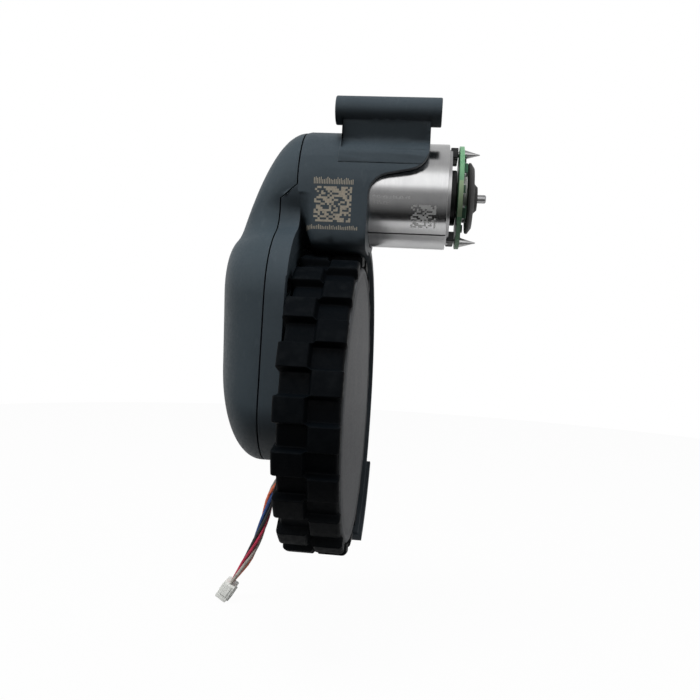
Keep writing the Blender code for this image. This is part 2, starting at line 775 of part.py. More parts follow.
def arm_holes():
    """Holes right through the arm: pivot, shaft, axle collar and screws."""
    shank = SCREW_RADIUS + GAP
    holes = [(-TUBE_LENGTH, TUBE_LENGTH, PIVOT_BORE_RADIUS, (0, 0)),
             (BOX_FACE_X - 2 * WALL, CAN_FRONT_X + WALL, BOSS_RADIUS + GAP, MOTOR_AXIS),
             (BOX_FACE_X - 2 * WALL, BOX_FACE_X + WALL, AXLE_COLLAR_RADIUS + GAP, WHEEL_AXIS)]
    for place in motor_screw_places():
        holes.append((BOX_FACE_X - WALL, CAN_FRONT_X + WALL, shank, place))
    return holes


def arm_sinks():
    """Recesses for the screw heads in the bulkhead and in the wall behind the wheel."""
    wide = SCREW_HEAD_RADIUS + GAP
    deep = SCREW_HEAD_HEIGHT + 2 * GAP
    sinks = [(SEAM_UPPER_X - WALL, SEAM_UPPER_X + deep, wide, place) for place in motor_screw_places()]
    sinks += [(BOX_FACE_X + WALL, BOX_FACE_X - deep, wide, place) for place in cover_screw_places()]
    return sinks


def make_cover(look):
    cover = box_loft("gearbox_cover", BOX_FACE_X, CROWN_X, 0.0)
    cut(cover, seam_cutter("before_seam", -GAP, WHEEL_FACE_X))
    cut(cover, make_cavity("cover_cavity", BOX_FACE_X + WALL, cover_bosses()))
    cut(cover, shell_holes("cover_blind_holes"))
    cut(cover, rods("inner_bearing_seat", [(INNER_BEARING_X + WALL, AXLE_LEFT_X - GAP, BEARING_SEAT_RADIUS,
                                            WHEEL_AXIS)], 24))
    return finish(cover, look)


def screw(name, head_x, tip_x, place, look):
    """Pan head screw along X with its head at the first end."""
    away = math.copysign(1.0, head_x - tip_x)
    under = head_x - away * SCREW_HEAD_HEIGHT
    profile = [(0, head_x),
               (SCREW_HEAD_RADIUS * 0.75, head_x),
               (SCREW_HEAD_RADIUS, head_x - away * SCREW_HEAD_HEIGHT * 0.4),
               (SCREW_HEAD_RADIUS, under),
               (SCREW_RADIUS, under),
               (SCREW_RADIUS, tip_x),
               (0, tip_x)]
    return finish(turned(name, profile, place, 10, closed=False), look)


def make_screws(look):
    for number, place in enumerate(cover_screw_places(), 1):
        screw(f"cover_screw_{number}", BOX_FACE_X - GAP, SEAM_LOWER_X - SCREW_HOLE_DEPTH + SCREW_TAIL,
              place, look)
    for number, place in enumerate(motor_screw_places(), 1):
        screw(f"motor_screw_{number}", SEAM_UPPER_X + GAP, CAN_FRONT_X + 2 * WALL, place, look)


# Motor and encoder


def make_can(look):
    boss_x = CAN_FRONT_X - BOSS_HEIGHT
    floor_x = CAN_FRONT_X + CAN_WALL
    seat = BUSH_RADIUS + GAP
    profile = [(CAN_RADIUS, CAN_REAR_X), (CAN_RADIUS, CAN_FRONT_X), (BOSS_RADIUS, CAN_FRONT_X),
               (BOSS_RADIUS, boss_x), (SHAFT_RADIUS + GAP, boss_x), (SHAFT_RADIUS + GAP, boss_x + CAN_WALL),
               (seat, boss_x + CAN_WALL), (seat, floor_x), (CAN_BORE, floor_x), (CAN_BORE, CAN_REAR_X)]
    can = turned("motor_can", profile, MOTOR_AXIS, 24)
    holes = []
    for place in motor_screw_places():
        holes.append((CAN_FRONT_X - WALL, floor_x + WALL, SCREW_RADIUS + GAP, place))
    cut(can, rods("can_screw_holes", holes, 12))
    return finish(can, look)


def make_flux_ring(look):
    """Rolled steel sleeve round the can, open along one slit."""
    middle = 180 - SLIT_ANGLE
    half = math.degrees(FLUX_RING_SLIT / 2 / FLUX_RING_RADIUS)
    inner = FLUX_RING_RADIUS - FLUX_RING_WALL
    outline = arc_points(FLUX_RING_RADIUS, MOTOR_AXIS, middle + half, middle + 360 - half, 36)
    outline += arc_points(inner, MOTOR_AXIS, middle + 360 - half, middle + half, 36)
    ring = extruded("flux_ring", [outline], CAN_FRONT_X + CAN_WALL, CAN_REAR_X - CAN_WALL)
    return finish(ring, look)


def make_magnets(look):
    outer = CAN_BORE - GAP
    half = CAN_LENGTH * MAGNET_SHARE / 2
    middle = CAN_FRONT_X + CAN_LENGTH * FIELD_MIDDLE
    for name, angle in (("magnet_upper", 90), ("magnet_lower", 270)):
        start = angle - MAGNET_SPAN / 2
        end = angle + MAGNET_SPAN / 2
        outline = arc_points(outer, MOTOR_AXIS, start, end, 16)
        outline += arc_points(outer - MAGNET_WALL, MOTOR_AXIS, end, start, 16)
        finish(extruded(name, [outline], middle - half, middle + half), look)


def make_armature(core_look, copper_look):
    """Five-pole rotor on the shaft, and its commutator."""
    radius = CAN_BORE - GAP - MAGNET_WALL - RUNNING_GAP
    bore = circle_loop(SHAFT_RADIUS + GAP, MOTOR_AXIS, 12)
    outline = []
    pitch = 360 / ARMATURE_POLES
    for i in range(ARMATURE_POLES):
        start = i * pitch + pitch * 0.06
        end = (i + 1) * pitch - pitch * 0.06
        outline += arc_points(radius, MOTOR_AXIS, start, end, 4)
        outline += arc_points(radius * 0.55, MOTOR_AXIS, end, end + pitch * 0.12, 1)
    middle = CAN_FRONT_X + CAN_LENGTH * FIELD_MIDDLE
    half = CAN_LENGTH * ARMATURE_SHARE / 2
    core = extruded("armature", [outline, bore], middle - half, middle + half)
    finish(core, core_look)
    start = middle + half + GAP
    ring = extruded("commutator", [circle_loop(COMMUTATOR_RADIUS, MOTOR_AXIS, 15), bore],
                    start, start + CAN_LENGTH * COMMUTATOR_SHARE)
    finish(ring, copper_look)
    return start


def make_brushes(commutator_x, look):
    """Two carbon brushes that stand on the end cap and reach the commutator."""
    base = CAN_REAR_X - END_CAP_DEPTH - GAP
    for name, side in (("brush_front", -1), ("brush_back", 1)):
        near = AXIS_SETBACK + side * (COMMUTATOR_RADIUS + GAP)
        far = near + side * BRUSH_LENGTH
        low = (commutator_x + BRUSH_OFFSET, min(near, far), -MOTOR_DROP - BRUSH_WIDTH / 2)
        high = (base, max(near, far), -MOTOR_DROP + BRUSH_WIDTH / 2)
        finish(block(name, low, high), look)


def make_end_cap(look):
    inner_x = CAN_REAR_X - END_CAP_DEPTH
    flange_x = CAN_REAR_X + GAP
    rear_x = flange_x + END_CAP_FLANGE
    seat = BUSH_RADIUS + GAP
    profile = [(seat, inner_x), (CAN_BORE - GAP, inner_x), (CAN_BORE - GAP, flange_x), (CAN_RADIUS, flange_x),
               (CAN_RADIUS, rear_x), (BOSS_RADIUS, rear_x), (BOSS_RADIUS, rear_x + CAN_WALL),
               (SHAFT_RADIUS + GAP, rear_x + CAN_WALL), (SHAFT_RADIUS + GAP, rear_x), (seat, rear_x)]
    return finish(turned("motor_end_cap", profile, MOTOR_AXIS, 24), look)


def bush(name, start, end, look):
    loops = [circle_loop(BUSH_RADIUS, MOTOR_AXIS, 16), circle_loop(SHAFT_RADIUS + GAP, MOTOR_AXIS, 12)]
    return finish(extruded(name, loops, start, end), look)


def make_shaft(pinion_end, look):
    rear = CAN_REAR_X + SHAFT_REAR_REACH
    chamfer = SHAFT_RADIUS * 0.25
    profile = [(0, rear), (SHAFT_RADIUS - chamfer, rear), (SHAFT_RADIUS, rear - chamfer),
               (SHAFT_RADIUS, pinion_end + chamfer), (SHAFT_RADIUS - chamfer, pinion_end), (0, pinion_end)]
    return finish(turned("motor_shaft", profile, MOTOR_AXIS, 12, closed=False), look)


def terminal_places():
    return {"upper": (AXIS_SETBACK, -MOTOR_DROP + TERMINAL_CIRCLE),
            "lower": (AXIS_SETBACK, -MOTOR_DROP - TERMINAL_CIRCLE)}


def make_board(look):
    loops = [circle_loop(BOARD_RADIUS, MOTOR_AXIS, 32), circle_loop(BOSS_RADIUS + GAP, MOTOR_AXIS, 16)]
    for place in terminal_places().values():
        loops.append(circle_loop(TERMINAL_RADIUS + GAP, place, 12))
    return finish(extruded("encoder_board", loops, BOARD_X, BOARD_FACE_X), look)


def make_terminals(look):
    """Motor terminals through the board, each with its cone of solder."""
    start = CAN_REAR_X + END_CAP_FLANGE + 2 * GAP
    base = BOARD_FACE_X + GAP
    for name, place in terminal_places().items():
        profile = [(0, base + CONE_LENGTH), (TERMINAL_RADIUS * 0.4, base + CONE_LENGTH * 0.96),
                   (CONE_RADIUS * 0.55, base + CONE_LENGTH * 0.35), (CONE_RADIUS, base),
                   (TERMINAL_RADIUS, base), (TERMINAL_RADIUS, start), (0, start)]
        finish(turned(f"terminal_{name}", profile, place, 10, closed=False), look)


def make_sensors(look):
    """Two Hall sensors on the outer face of the board, beside the magnet disc."""
    for number, side in enumerate((-1, 1), 1):
        middle = AXIS_SETBACK + side * SENSOR_SPREAD
        height = -MOTOR_DROP - SENSOR_DROP
        low = (BOARD_FACE_X + GAP, middle - SENSOR_WIDTH / 2, height - SENSOR_HEIGHT / 2)
        high = (BOARD_FACE_X + GAP + SENSOR_THICKNESS, middle + SENSOR_WIDTH / 2, height + SENSOR_HEIGHT / 2)
        finish(block(f"hall_sensor_{number}", low, high), look)


def make_encoder(disc_look, carrier_look):
    left = CAN_REAR_X + DISC_OFFSET
    right = left + DISC_THICKNESS
    bore = SHAFT_RADIUS + GAP
    profile = [(bore, left), (DISC_RADIUS, left), (DISC_RADIUS, left + DISC_THICKNESS * 0.5),
               (DISC_RADIUS * 0.85, right), (DISC_HUB_RADIUS, right + DISC_HUB_HEIGHT * 0.3),
               (DISC_HUB_RADIUS * 0.9, right + DISC_HUB_HEIGHT), (bore, right + DISC_HUB_HEIGHT)]
    finish(turned("encoder_disc", profile, MOTOR_AXIS, 24), disc_look)
    loops = [circle_loop(CARRIER_RADIUS, MOTOR_AXIS, 20), circle_loop(bore, MOTOR_AXIS, 12)]
    finish(extruded("encoder_carrier", loops, left - GAP - CARRIER_THICKNESS, left - GAP), carrier_look)


# Gears, pins and axle


def make_gears(plastic_look, brass_look, steel_look):
    first, second, third = gear_centres()
    pin_bore = [circle_loop(PIN_RADIUS + GAP, place, 12) for place in (first, second, third)]
    overlap = LAYER_GAP / 8
    phase_m = math.radians(GEAR_1_LEAN)
    motor_span = (CAN_FRONT_X - BOSS_HEIGHT - GAP, LAYER_A[0] - FACE_1 - GAP)
    pinion = gear_wheel("motor_pinion", MOTOR_TEETH, MODULE_1, MOTOR_AXIS, phase_m, motor_span,
                        circle_loop(SHAFT_RADIUS + GAP, MOTOR_AXIS, 12))
    finish(pinion, brass_look)

    phase = mesh_phase(phase_m, MOTOR_TEETH, GEAR_1_TEETH, MOTOR_AXIS, first)
    gear = gear_wheel("gear_1", GEAR_1_TEETH, MODULE_1, first, phase,
                      (LAYER_A[0], LAYER_A[0] - FACE_1), pin_bore[0])
    fuse(gear, gear_wheel("pinion_1", PINION_1_TEETH, MODULE_2, first, 0.0,
                          (LAYER_A[0] - FACE_1 + overlap, LAYER_C[1]), pin_bore[0]))
    finish(gear, plastic_look)

    phase = mesh_phase(0.0, PINION_1_TEETH, GEAR_2_TEETH, first, second)
    gear = gear_wheel("gear_2", GEAR_2_TEETH, MODULE_2, second, phase, LAYER_C, pin_bore[1])
    fuse(gear, gear_wheel("pinion_2", PINION_2_TEETH, MODULE_3, second, 0.0,
                          (LAYER_B[0], LAYER_C[0] - overlap), pin_bore[1]))
    finish(gear, plastic_look)

    phase = mesh_phase(0.0, PINION_2_TEETH, GEAR_3_TEETH, second, third)
    gear = gear_wheel("gear_3", GEAR_3_TEETH, MODULE_3, third, phase, LAYER_B, pin_bore[2])
    fuse(gear, gear_wheel("pinion_3", PINION_3_TEETH, MODULE_4, third, 0.0,
                          (LAYER_A[0], LAYER_B[0] - overlap), pin_bore[2]))
    finish(gear, plastic_look)

    phase = mesh_phase(0.0, PINION_3_TEETH, OUTPUT_TEETH, third, WHEEL_AXIS)
    bore = double_d(AXLE_RADIUS + GAP, AXLE_FLAT + GAP, WHEEL_AXIS, 16)
    gear = gear_wheel("output_gear", OUTPUT_TEETH, MODULE_4, WHEEL_AXIS, phase, LAYER_A, bore)
    finish(gear, plastic_look)

    for number, place in enumerate((first, second, third), 1):
        pin = rods(f"gear_pin_{number}", [(BOX_FACE_X - PIN_SINK - GAP, LAYER_C[1] - PIN_TAIL + GAP,
                                           PIN_RADIUS, place)], 12)
        finish(pin, steel_look)


def make_axle(steel_look):
    """Axle with a collar against the outer bearing and flats for the gear and the wheel."""
    hub_end = AXLE_END_X
    hole = AXLE_SCREW_RADIUS + GAP
    collar = (BOX_FACE_X - GAP, LAYER_A[0] + GAP)
    profile = [(0, AXLE_LEFT_X), (AXLE_RADIUS, AXLE_LEFT_X), (AXLE_RADIUS, collar[1]),
               (AXLE_COLLAR_RADIUS, collar[1]), (AXLE_COLLAR_RADIUS, collar[0]), (AXLE_RADIUS, collar[0]),
               (AXLE_RADIUS, hub_end), (hole, hub_end), (hole, hub_end - AXLE_SCREW_LENGTH),
               (0, hub_end - AXLE_SCREW_LENGTH)]
    axle = turned("axle", profile, WHEEL_AXIS, 16, closed=False)
    for name, (start, end) in (("gear_flats", (LAYER_A[0] + GAP, LAYER_A[1])),
                               ("hub_flats", (hub_end + WALL, BEARING_TUBE_X + GAP))):
        for side, label in ((1, "top"), (-1, "bottom")):
            near = -WHEEL_DROP + side * AXLE_FLAT
            far = -WHEEL_DROP + side * AXLE_RADIUS * 2
            low = (min(start, end), AXIS_SETBACK - AXLE_RADIUS * 2, min(near, far))
            high = (max(start, end), AXIS_SETBACK + AXLE_RADIUS * 2, max(near, far))
            cut(axle, block(f"{name}_{label}", low, high))
    finish(axle, steel_look)


def make_bearings(steel_look):
    bore = circle_loop(AXLE_RADIUS + GAP, WHEEL_AXIS, 16)
    race = circle_loop(BEARING_RADIUS, WHEEL_AXIS, 24)
    outer = extruded("outer_bearing", [race, bore], BOX_FACE_X + GAP, BOX_FACE_X + BEARING_WIDTH)
    finish(outer, steel_look)
    inner = extruded("inner_bearing", [race, bore], INNER_BEARING_X, AXLE_LEFT_X + GAP)
    finish(inner, steel_look)
    tube_loop = circle_loop(SPACER_RADIUS, WHEEL_AXIS, 16)
    finish(extruded("axle_spacer", [tube_loop, bore], LAYER_A[1] - GAP, INNER_BEARING_X + GAP), steel_look)


# Wheel


def tread_row(name, phase, start, end):
    """One row of square lugs, rooted in the band of the tyre."""
    root = WHEEL_RADIUS - LUG_HEIGHT - LUG_ROOT
    pitch = 360 / LUG_COUNT
    loops = []
    for i in range(LUG_COUNT):
        first = phase + (i - LUG_SHARE / 2) * pitch
        last = phase + (i + LUG_SHARE / 2) * pitch
        loops.append(arc_points(WHEEL_RADIUS, WHEEL_AXIS, first, last, 1)
                     + arc_points(root, WHEEL_AXIS, last, first, 1))
    return extruded(name, loops, start, end)


def make_tyre(look):
    """Band with a groove for the rim's key and a recess for the hub cap, and two rows of lugs."""
    middle = WHEEL_FACE_X - WHEEL_WIDTH / 2
    base = WHEEL_RADIUS - LUG_HEIGHT
    recess_x = WHEEL_FACE_X - CAP_THICKNESS - GAP
    groove = TYRE_BORE + TYRE_KEY_HEIGHT
    key = TYRE_KEY_WIDTH / 2 + GAP
    left = WHEEL_INNER_X + TYRE_SHOULDER
    profile = [(TYRE_BORE, left), (TYRE_BORE, middle - key), (groove, middle - key), (groove, middle + key),
               (TYRE_BORE, middle + key), (TYRE_BORE, recess_x), (CAP_RADIUS + GAP, recess_x),
               (CAP_RADIUS + GAP, WHEEL_FACE_X - TYRE_SHOULDER), (base, WHEEL_FACE_X - TYRE_SHOULDER), (base, left)]
    tyre = turned("tyre", profile, WHEEL_AXIS, 40)
    pitch = 360 / LUG_COUNT
    fuse(tyre, tread_row("inner_row", 180.0, WHEEL_INNER_X, middle + ROW_OVERLAP))
    fuse(tyre, tread_row("outer_row", 180.0 + pitch * ROW_STAGGER, middle - ROW_OVERLAP, WHEEL_FACE_X - GAP))
    return finish(tyre, look)


def make_rim(look):
    """Moulded wheel: drum with a key for the tyre, web, hub and radial ribs."""
    middle = WHEEL_FACE_X - WHEEL_WIDTH / 2
    left = WHEEL_INNER_X + RUNNING_GAP
    right = WHEEL_FACE_X - CAP_THICKNESS - 2 * GAP
    bore = RIM_RADIUS - RIM_THICKNESS
    web_left = WEB_X - WEB_THICKNESS
    key = RIM_RADIUS + TYRE_KEY_HEIGHT
    half = TYRE_KEY_WIDTH / 2
    inner = HUB_BORE
    hub_left = HUB_LEFT_X
    profile = [(RIM_RADIUS, right), (RIM_RADIUS, middle + half), (key, middle + half), (key, middle - half),
               (RIM_RADIUS, middle - half), (RIM_RADIUS, left), (bore, left), (bore, web_left),
               (HUB_RADIUS, web_left), (HUB_RADIUS, hub_left), (inner, hub_left), (inner, WEB_X),
               (bore, WEB_X), (bore, right)]
    rim = turned("wheel_rim", profile, WHEEL_AXIS, 30)
    hub = extruded("hub_core", [circle_loop(inner + WALL / 2, WHEEL_AXIS, 20),
                                double_d(AXLE_RADIUS + GAP, AXLE_FLAT + GAP, WHEEL_AXIS, 16)],
                   hub_left + HUB_STEP, HUB_SEAT_X)
    fuse(rim, hub)
    for number in range(RIB_COUNT):
        turn = 2 * math.pi * number / RIB_COUNT
        rib = block(f"rib_{number}", (hub_left + HUB_STEP, HUB_RADIUS - WALL / 2, -RIB_THICKNESS / 2),
                    (web_left + WALL / 4, bore + WALL / 2, RIB_THICKNESS / 2))
        rib.matrix_world = Matrix.Translation((0, *WHEEL_AXIS)) @ Matrix.Rotation(turn, 4, "X")
        fuse(rim, rib)
    return finish(rim, look)


def make_hub_cap(look):
    """Crowned disc that hides the wheel screw, with pegs that stand on the web."""
    back = WHEEL_FACE_X - CAP_THICKNESS
    profile = [(0, WHEEL_FACE_X), (CAP_RADIUS * 0.6, WHEEL_FACE_X - CAP_CROWN * 0.25),
               (CAP_RADIUS * 0.93, WHEEL_FACE_X - CAP_CROWN), (CAP_RADIUS, WHEEL_FACE_X - CAP_CROWN * 2),
               (CAP_RADIUS, back), (0, back)]
    cap = turned("hub_cap", profile, WHEEL_AXIS, 32, closed=False)
    pegs = []
    for i in range(CAP_PEG_COUNT):
        angle = 2 * math.pi * (i + 0.25) / CAP_PEG_COUNT
        place = (WHEEL_AXIS[0] + CAP_PEG_CIRCLE * math.cos(angle), WHEEL_AXIS[1] + CAP_PEG_CIRCLE * math.sin(angle))
        pegs.append((WEB_X + GAP, back + CAP_THICKNESS / 3, CAP_PEG_RADIUS, place))
    fuse(cap, rods("cap_pegs", pegs, 10))
    return finish(cap, look)


def make_wheel_screw(look):
    """Screw with a wide head that holds the wheel on the end of the axle."""
    head = HUB_SEAT_X + GAP
    wide = HUB_BORE - GAP
    top = head + WHEEL_SCREW_HEAD
    tip = AXLE_END_X - AXLE_SCREW_LENGTH + GAP
    profile = [(0, top), (wide * 0.8, top), (wide, top - WHEEL_SCREW_HEAD / 2), (wide, head),
               (AXLE_SCREW_RADIUS, head), (AXLE_SCREW_RADIUS, tip), (0, tip)]
    return finish(turned("wheel_screw", profile, WHEEL_AXIS, 16, closed=False), look)


# Harness


def smooth_route(route, count):
    """Evenly spaced points on one smooth curve through the given points."""
    points = [Vector(p) for p in route]
    padded = [2 * points[0] - points[1]] + points + [2 * points[-1] - points[-2]]
    fine = []
    for i in range(1, len(padded) - 2):
        before, start, end, after = padded[i - 1:i + 3]
        for step in range(12):
            t = step / 12
            fine.append(0.5 * (2 * start + (end - before) * t
                               + (2 * before - 5 * start + 4 * end - after) * t ** 2
                               + (3 * start - before - 3 * end + after) * t ** 3))
    fine.append(points[-1])
    run = [0.0]
    for a, b in zip(fine, fine[1:]):
        run.append(run[-1] + (b - a).length)
    even = []
    j = 0
    for i in range(count):
        target = run[-1] * i / (count - 1)
        while j < len(run) - 2 and run[j + 1] < target:
            j += 1
        share = (target - run[j]) / (run[j + 1] - run[j])
        even.append(fine[j].lerp(fine[j + 1], share))
    return even


def tube(name, points, radius, look, resolution=1):
    curve = bpy.data.curves.new(name, "CURVE")
    curve.dimensions = "3D"
    curve.bevel_depth = radius
    curve.bevel_resolution = resolution
    curve.use_fill_caps = True
    spline = curve.splines.new("POLY")
    spline.points.add(len(points) - 1)
    for item, point in zip(spline.points, points):
        item.co = (*point, 1)
    made = bpy.data.objects.new(name, curve)
    PARTS.objects.link(made)
    return finish(as_mesh(made, name), look)


# Route of the held harness, from the back edge of the board to the lower hook
HELD_ROUTE = ((0.0170, 0.0226, -0.0168), (0.0170, 0.0238, -0.0168), (0.0158, 0.0252, -0.0168),
              (0.0130, 0.0259, -0.0168), (0.0050, 0.0260, -0.0168), (-0.0080, 0.0260, -0.0168),
              (-0.0150, 0.0268, -0.0176), (-0.0200, 0.0290, -0.0206), (-0.0219, 0.0318, -0.0262),
              (-0.0219, 0.0344, -0.0334), (-0.0219, 0.0366, -0.0420), (-0.0219, 0.0368, -0.0520),
              (-0.0219, 0.0368, -0.0650), (-0.0219, 0.0368, -0.0765))

# Route of the free wires, from the lower hook down to the plug
FREE_ROUTE = ((-0.0219, 0.0368, -0.0768), (-0.0221, 0.0368, -0.0800), (-0.0236, 0.0366, -0.0845),
              (-0.0262, 0.0363, -0.0895), (-0.0286, 0.0358, -0.0945), (-0.0296, 0.0350, -0.0994),
              (-0.0309, 0.0340, -0.1048), (-0.0328, 0.0330, -0.1102), (-0.0351, 0.0323, -0.1145),
              (-0.0372, 0.0320, -0.1180))


def make_harness(sleeve_look, wire_looks, plug_look):
    tube("harness_sleeve", smooth_route(HELD_ROUTE, SLEEVE_POINTS), SLEEVE_RADIUS, sleeve_look, 2)
    points = smooth_route(FREE_ROUTE, WIRE_POINTS)
    names = ("wire_grey", "wire_red", "wire_black", "wire_blue", "wire_orange")
    row_order = (0, 1, 4, 2, 3)
    last_angle = math.radians(WIRE_END_ANGLE)
    for k, name in enumerate(names):
        path = []
        for i, point in enumerate(points):
            share = i / (len(points) - 1)
            ahead = points[min(i + 1, len(points) - 1)] - points[max(i - 1, 0)]
            across = Vector((0, 1, 0))
            across = (across - ahead * (across.dot(ahead) / ahead.length_squared)).normalized()
            other = ahead.cross(across).normalized()
            twist = min(share, FAN_START) / FAN_START
            angle = last_angle + 2 * math.pi * (k / 5 - WIRE_TURNS * (1 - twist))
            bundle = WIRE_CIRCLE * Vector((math.cos(angle), math.sin(angle)))
            slot = row_order.index(k)
            row = Vector(((slot - 2) * PLUG_PITCH, 0))
            fan = max(0.0, (share - FAN_START) / (1 - FAN_START))
            offset = bundle.lerp(row, fan)
            path.append(point + across * offset.x + other * offset.y)
        tube(name, path, WIRE_RADIUS, wire_looks[k])
    make_plug(points[-1], points[-1] - points[-2], plug_look)


def make_plug(end, direction, look):
    """Crimp housing on the end of the wires, wide along Y."""
    along = direction.normalized()
    across = Vector((0, 1, 0))
    across = (across - along * across.dot(along)).normalized()
    other = along.cross(across)
    turn = Matrix((across, other, along)).transposed().to_4x4()
    half = (PLUG_WIDTH / 2, PLUG_THICKNESS / 2, PLUG_LENGTH / 2)
    plug = block("wire_plug", [-h for h in half], half)
    ridge = block("plug_ridge", (-PLUG_WIDTH * 0.32, PLUG_THICKNESS * 0.4, -PLUG_LENGTH * 0.3),
                  (PLUG_WIDTH * 0.32, PLUG_THICKNESS * 0.62, PLUG_LENGTH * 0.4))
    place = Matrix.Translation(end + along * (PLUG_LENGTH / 2 + GAP)) @ turn
    plug.matrix_world = place
    ridge.matrix_world = place
    fuse(plug, ridge)
    finish(plug, look)


# Build

clear_scene()
PARTS = new_collection(PART_NAME)
CUTTERS = new_collection("cutters")

HOUSING = material("housing_plastic", (0.058, 0.070, 0.078), 0.5)
COVER = material("cover_plastic", (0.055, 0.067, 0.075), 0.5)
RUBBER = material("tyre_rubber", (0.012, 0.014, 0.016), 0.7)
RIM = material("rim_plastic", (0.03, 0.03, 0.032), 0.5)
CAP = material("hub_cap_plastic", (0.12, 0.12, 0.13), 0.35)
STEEL = material("steel", (0.6, 0.6, 0.6), 0.3, 1.0)
CAN = material("zinc_plated_steel", (0.7, 0.7, 0.7), 0.28, 1.0)
MAGNET = material("ferrite", (0.05, 0.05, 0.05), 0.7)
COPPER = material("copper", (0.75, 0.35, 0.2), 0.35, 1.0)
BRASS = material("brass", (0.75, 0.58, 0.25), 0.3, 1.0)
ACETAL = material("gear_acetal", (0.75, 0.74, 0.7), 0.4)
BLACK = material("black_plastic", (0.02, 0.02, 0.02), 0.5)
BOARD = material("board_laminate", (0.08, 0.32, 0.12), 0.45)
DISC = material("disc_magnet", (0.04, 0.04, 0.04), 0.5)
CARRIER = material("carrier_plastic", (0.7, 0.7, 0.68), 0.5)
SOLDER = material("solder", (0.75, 0.75, 0.75), 0.25, 1.0)
SLEEVE = material("sleeve", (0.015, 0.015, 0.015), 0.6)
PLUG = material("plug_nylon", (0.6, 0.62, 0.57), 0.5)
WIRES = [material("wire_grey_pvc", (0.35, 0.33, 0.3), 0.4),
         material("wire_red_pvc", (0.45, 0.02, 0.05), 0.4),
         material("wire_black_pvc", (0.015, 0.015, 0.015), 0.4),
         material("wire_blue_pvc", (0.02, 0.07, 0.25), 0.4),
         material("wire_orange_pvc", (0.65, 0.14, 0.06), 0.4)]

make_arm(HOUSING)
make_cover(COVER)
make_screws(STEEL)
make_can(CAN)
make_flux_ring(CAN)
make_magnets(MAGNET)
COMMUTATOR_X = make_armature(STEEL, COPPER)
make_brushes(COMMUTATOR_X, BLACK)
make_end_cap(BLACK)
bush("front_bush", CAN_FRONT_X - BOSS_HEIGHT + CAN_WALL + GAP, CAN_FRONT_X + CAN_WALL, BRASS)
bush("rear_bush", CAN_REAR_X - END_CAP_DEPTH + GAP, CAN_REAR_X + END_CAP_FLANGE, BRASS)
make_shaft(LAYER_A[0] - FACE_1 - 2 * GAP, STEEL)
make_board(BOARD)
make_terminals(SOLDER)
make_sensors(BLACK)
make_encoder(DISC, CARRIER)
make_gears(ACETAL, BRASS, STEEL)
make_axle(STEEL)
make_bearings(STEEL)
make_tyre(RUBBER)
make_rim(RIM)
make_hub_cap(CAP)
make_wheel_screw(STEEL)
make_harness(SLEEVE, WIRES, PLUG)
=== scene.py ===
"""Looks of the robot vacuum wheel module: camera, cords, finishes, fine shapes, floor and light.

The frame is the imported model's: origin at the centre of the pivot tube, +X along the pivot axis
towards the hub cap, +Y away from the viewer and +Z up. All lengths are in metres.
"""

import math

import bmesh
import bpy
from mathutils import Matrix, Vector
from mathutils.bvhtree import BVHTree


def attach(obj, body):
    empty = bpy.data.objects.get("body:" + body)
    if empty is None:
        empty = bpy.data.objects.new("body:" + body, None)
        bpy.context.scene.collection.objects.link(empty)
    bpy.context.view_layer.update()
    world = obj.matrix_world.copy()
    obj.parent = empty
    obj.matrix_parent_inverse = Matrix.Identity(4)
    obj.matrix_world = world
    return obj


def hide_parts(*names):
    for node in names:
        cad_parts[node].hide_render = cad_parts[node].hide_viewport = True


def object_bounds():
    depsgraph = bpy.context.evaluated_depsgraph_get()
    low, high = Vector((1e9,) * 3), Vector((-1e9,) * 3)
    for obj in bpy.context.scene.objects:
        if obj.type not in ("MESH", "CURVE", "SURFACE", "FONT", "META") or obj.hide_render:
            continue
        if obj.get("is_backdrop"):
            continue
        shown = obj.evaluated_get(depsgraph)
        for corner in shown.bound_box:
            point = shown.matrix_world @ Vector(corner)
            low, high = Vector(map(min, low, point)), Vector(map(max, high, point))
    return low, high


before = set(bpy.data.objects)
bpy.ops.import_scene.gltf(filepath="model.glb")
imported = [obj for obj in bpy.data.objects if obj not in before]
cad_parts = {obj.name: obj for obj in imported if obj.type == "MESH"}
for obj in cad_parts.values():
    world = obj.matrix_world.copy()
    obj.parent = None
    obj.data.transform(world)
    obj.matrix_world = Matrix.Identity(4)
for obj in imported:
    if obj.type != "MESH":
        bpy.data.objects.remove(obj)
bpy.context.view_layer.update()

# Camera, fitted to the photograph: angles in degrees and the focal length in pixels of 700
CAMERA_AZIMUTH = 5.68
CAMERA_ELEVATION = -0.92
CAMERA_ROLL = 3.3
CAMERA_DISTANCE = 0.16376
CAMERA_AIM = (-0.00572, 0.0, -0.05414)
FOCAL_PIXELS = 728.15
IMAGE_PIXELS = 700
SENSOR_MM = 36.0

# Sizes shared with the solids
GAP = 0.0003
MOTOR_AXIS = (0.01, -0.0168)
WHEEL_AXIS = (0.01, -0.0667)
WHEEL_RADIUS = 0.035
WHEEL_LEFT_X = -0.0179
WHEEL_FACE_X = -0.0039
LUG_COUNT = 20
LUG_HEIGHT = 0.0018
LUG_SHARE = 0.52
TYRE_BORE = 0.0296
TYRE_SHOULDER = 0.0007
TYRE_KEY_HALF = 0.0013
TYRE_KEY_HEIGHT = 0.0012
CAP_RADIUS = 0.0322
CAP_THICKNESS = 0.0012
CAP_RECESS_X = WHEEL_FACE_X - CAP_THICKNESS - GAP
COLLAR_RADIUS = 0.0141
RING_RADIUS = 0.0122
RING_WALL = 0.0009
RING_LEFT_X = -0.0147
RING_RIGHT_X = 0.0142
RING_SLIT = 0.0008
RING_SLIT_ANGLE = 236.0
CAN_REAR_X = 0.0149
CAP_FACE_X = 0.0162
CAP_PLATE_RADIUS = 0.0099
CAP_PLATE_DEPTH = 0.0022
CAP_DRUM_RADIUS = 0.0064
CAP_EDGE = 0.0002
CAP_BLOCK_REACH = (0.0086, 0.0109)
BOARD_X = 0.0165
BOARD_FACE_X = 0.0175
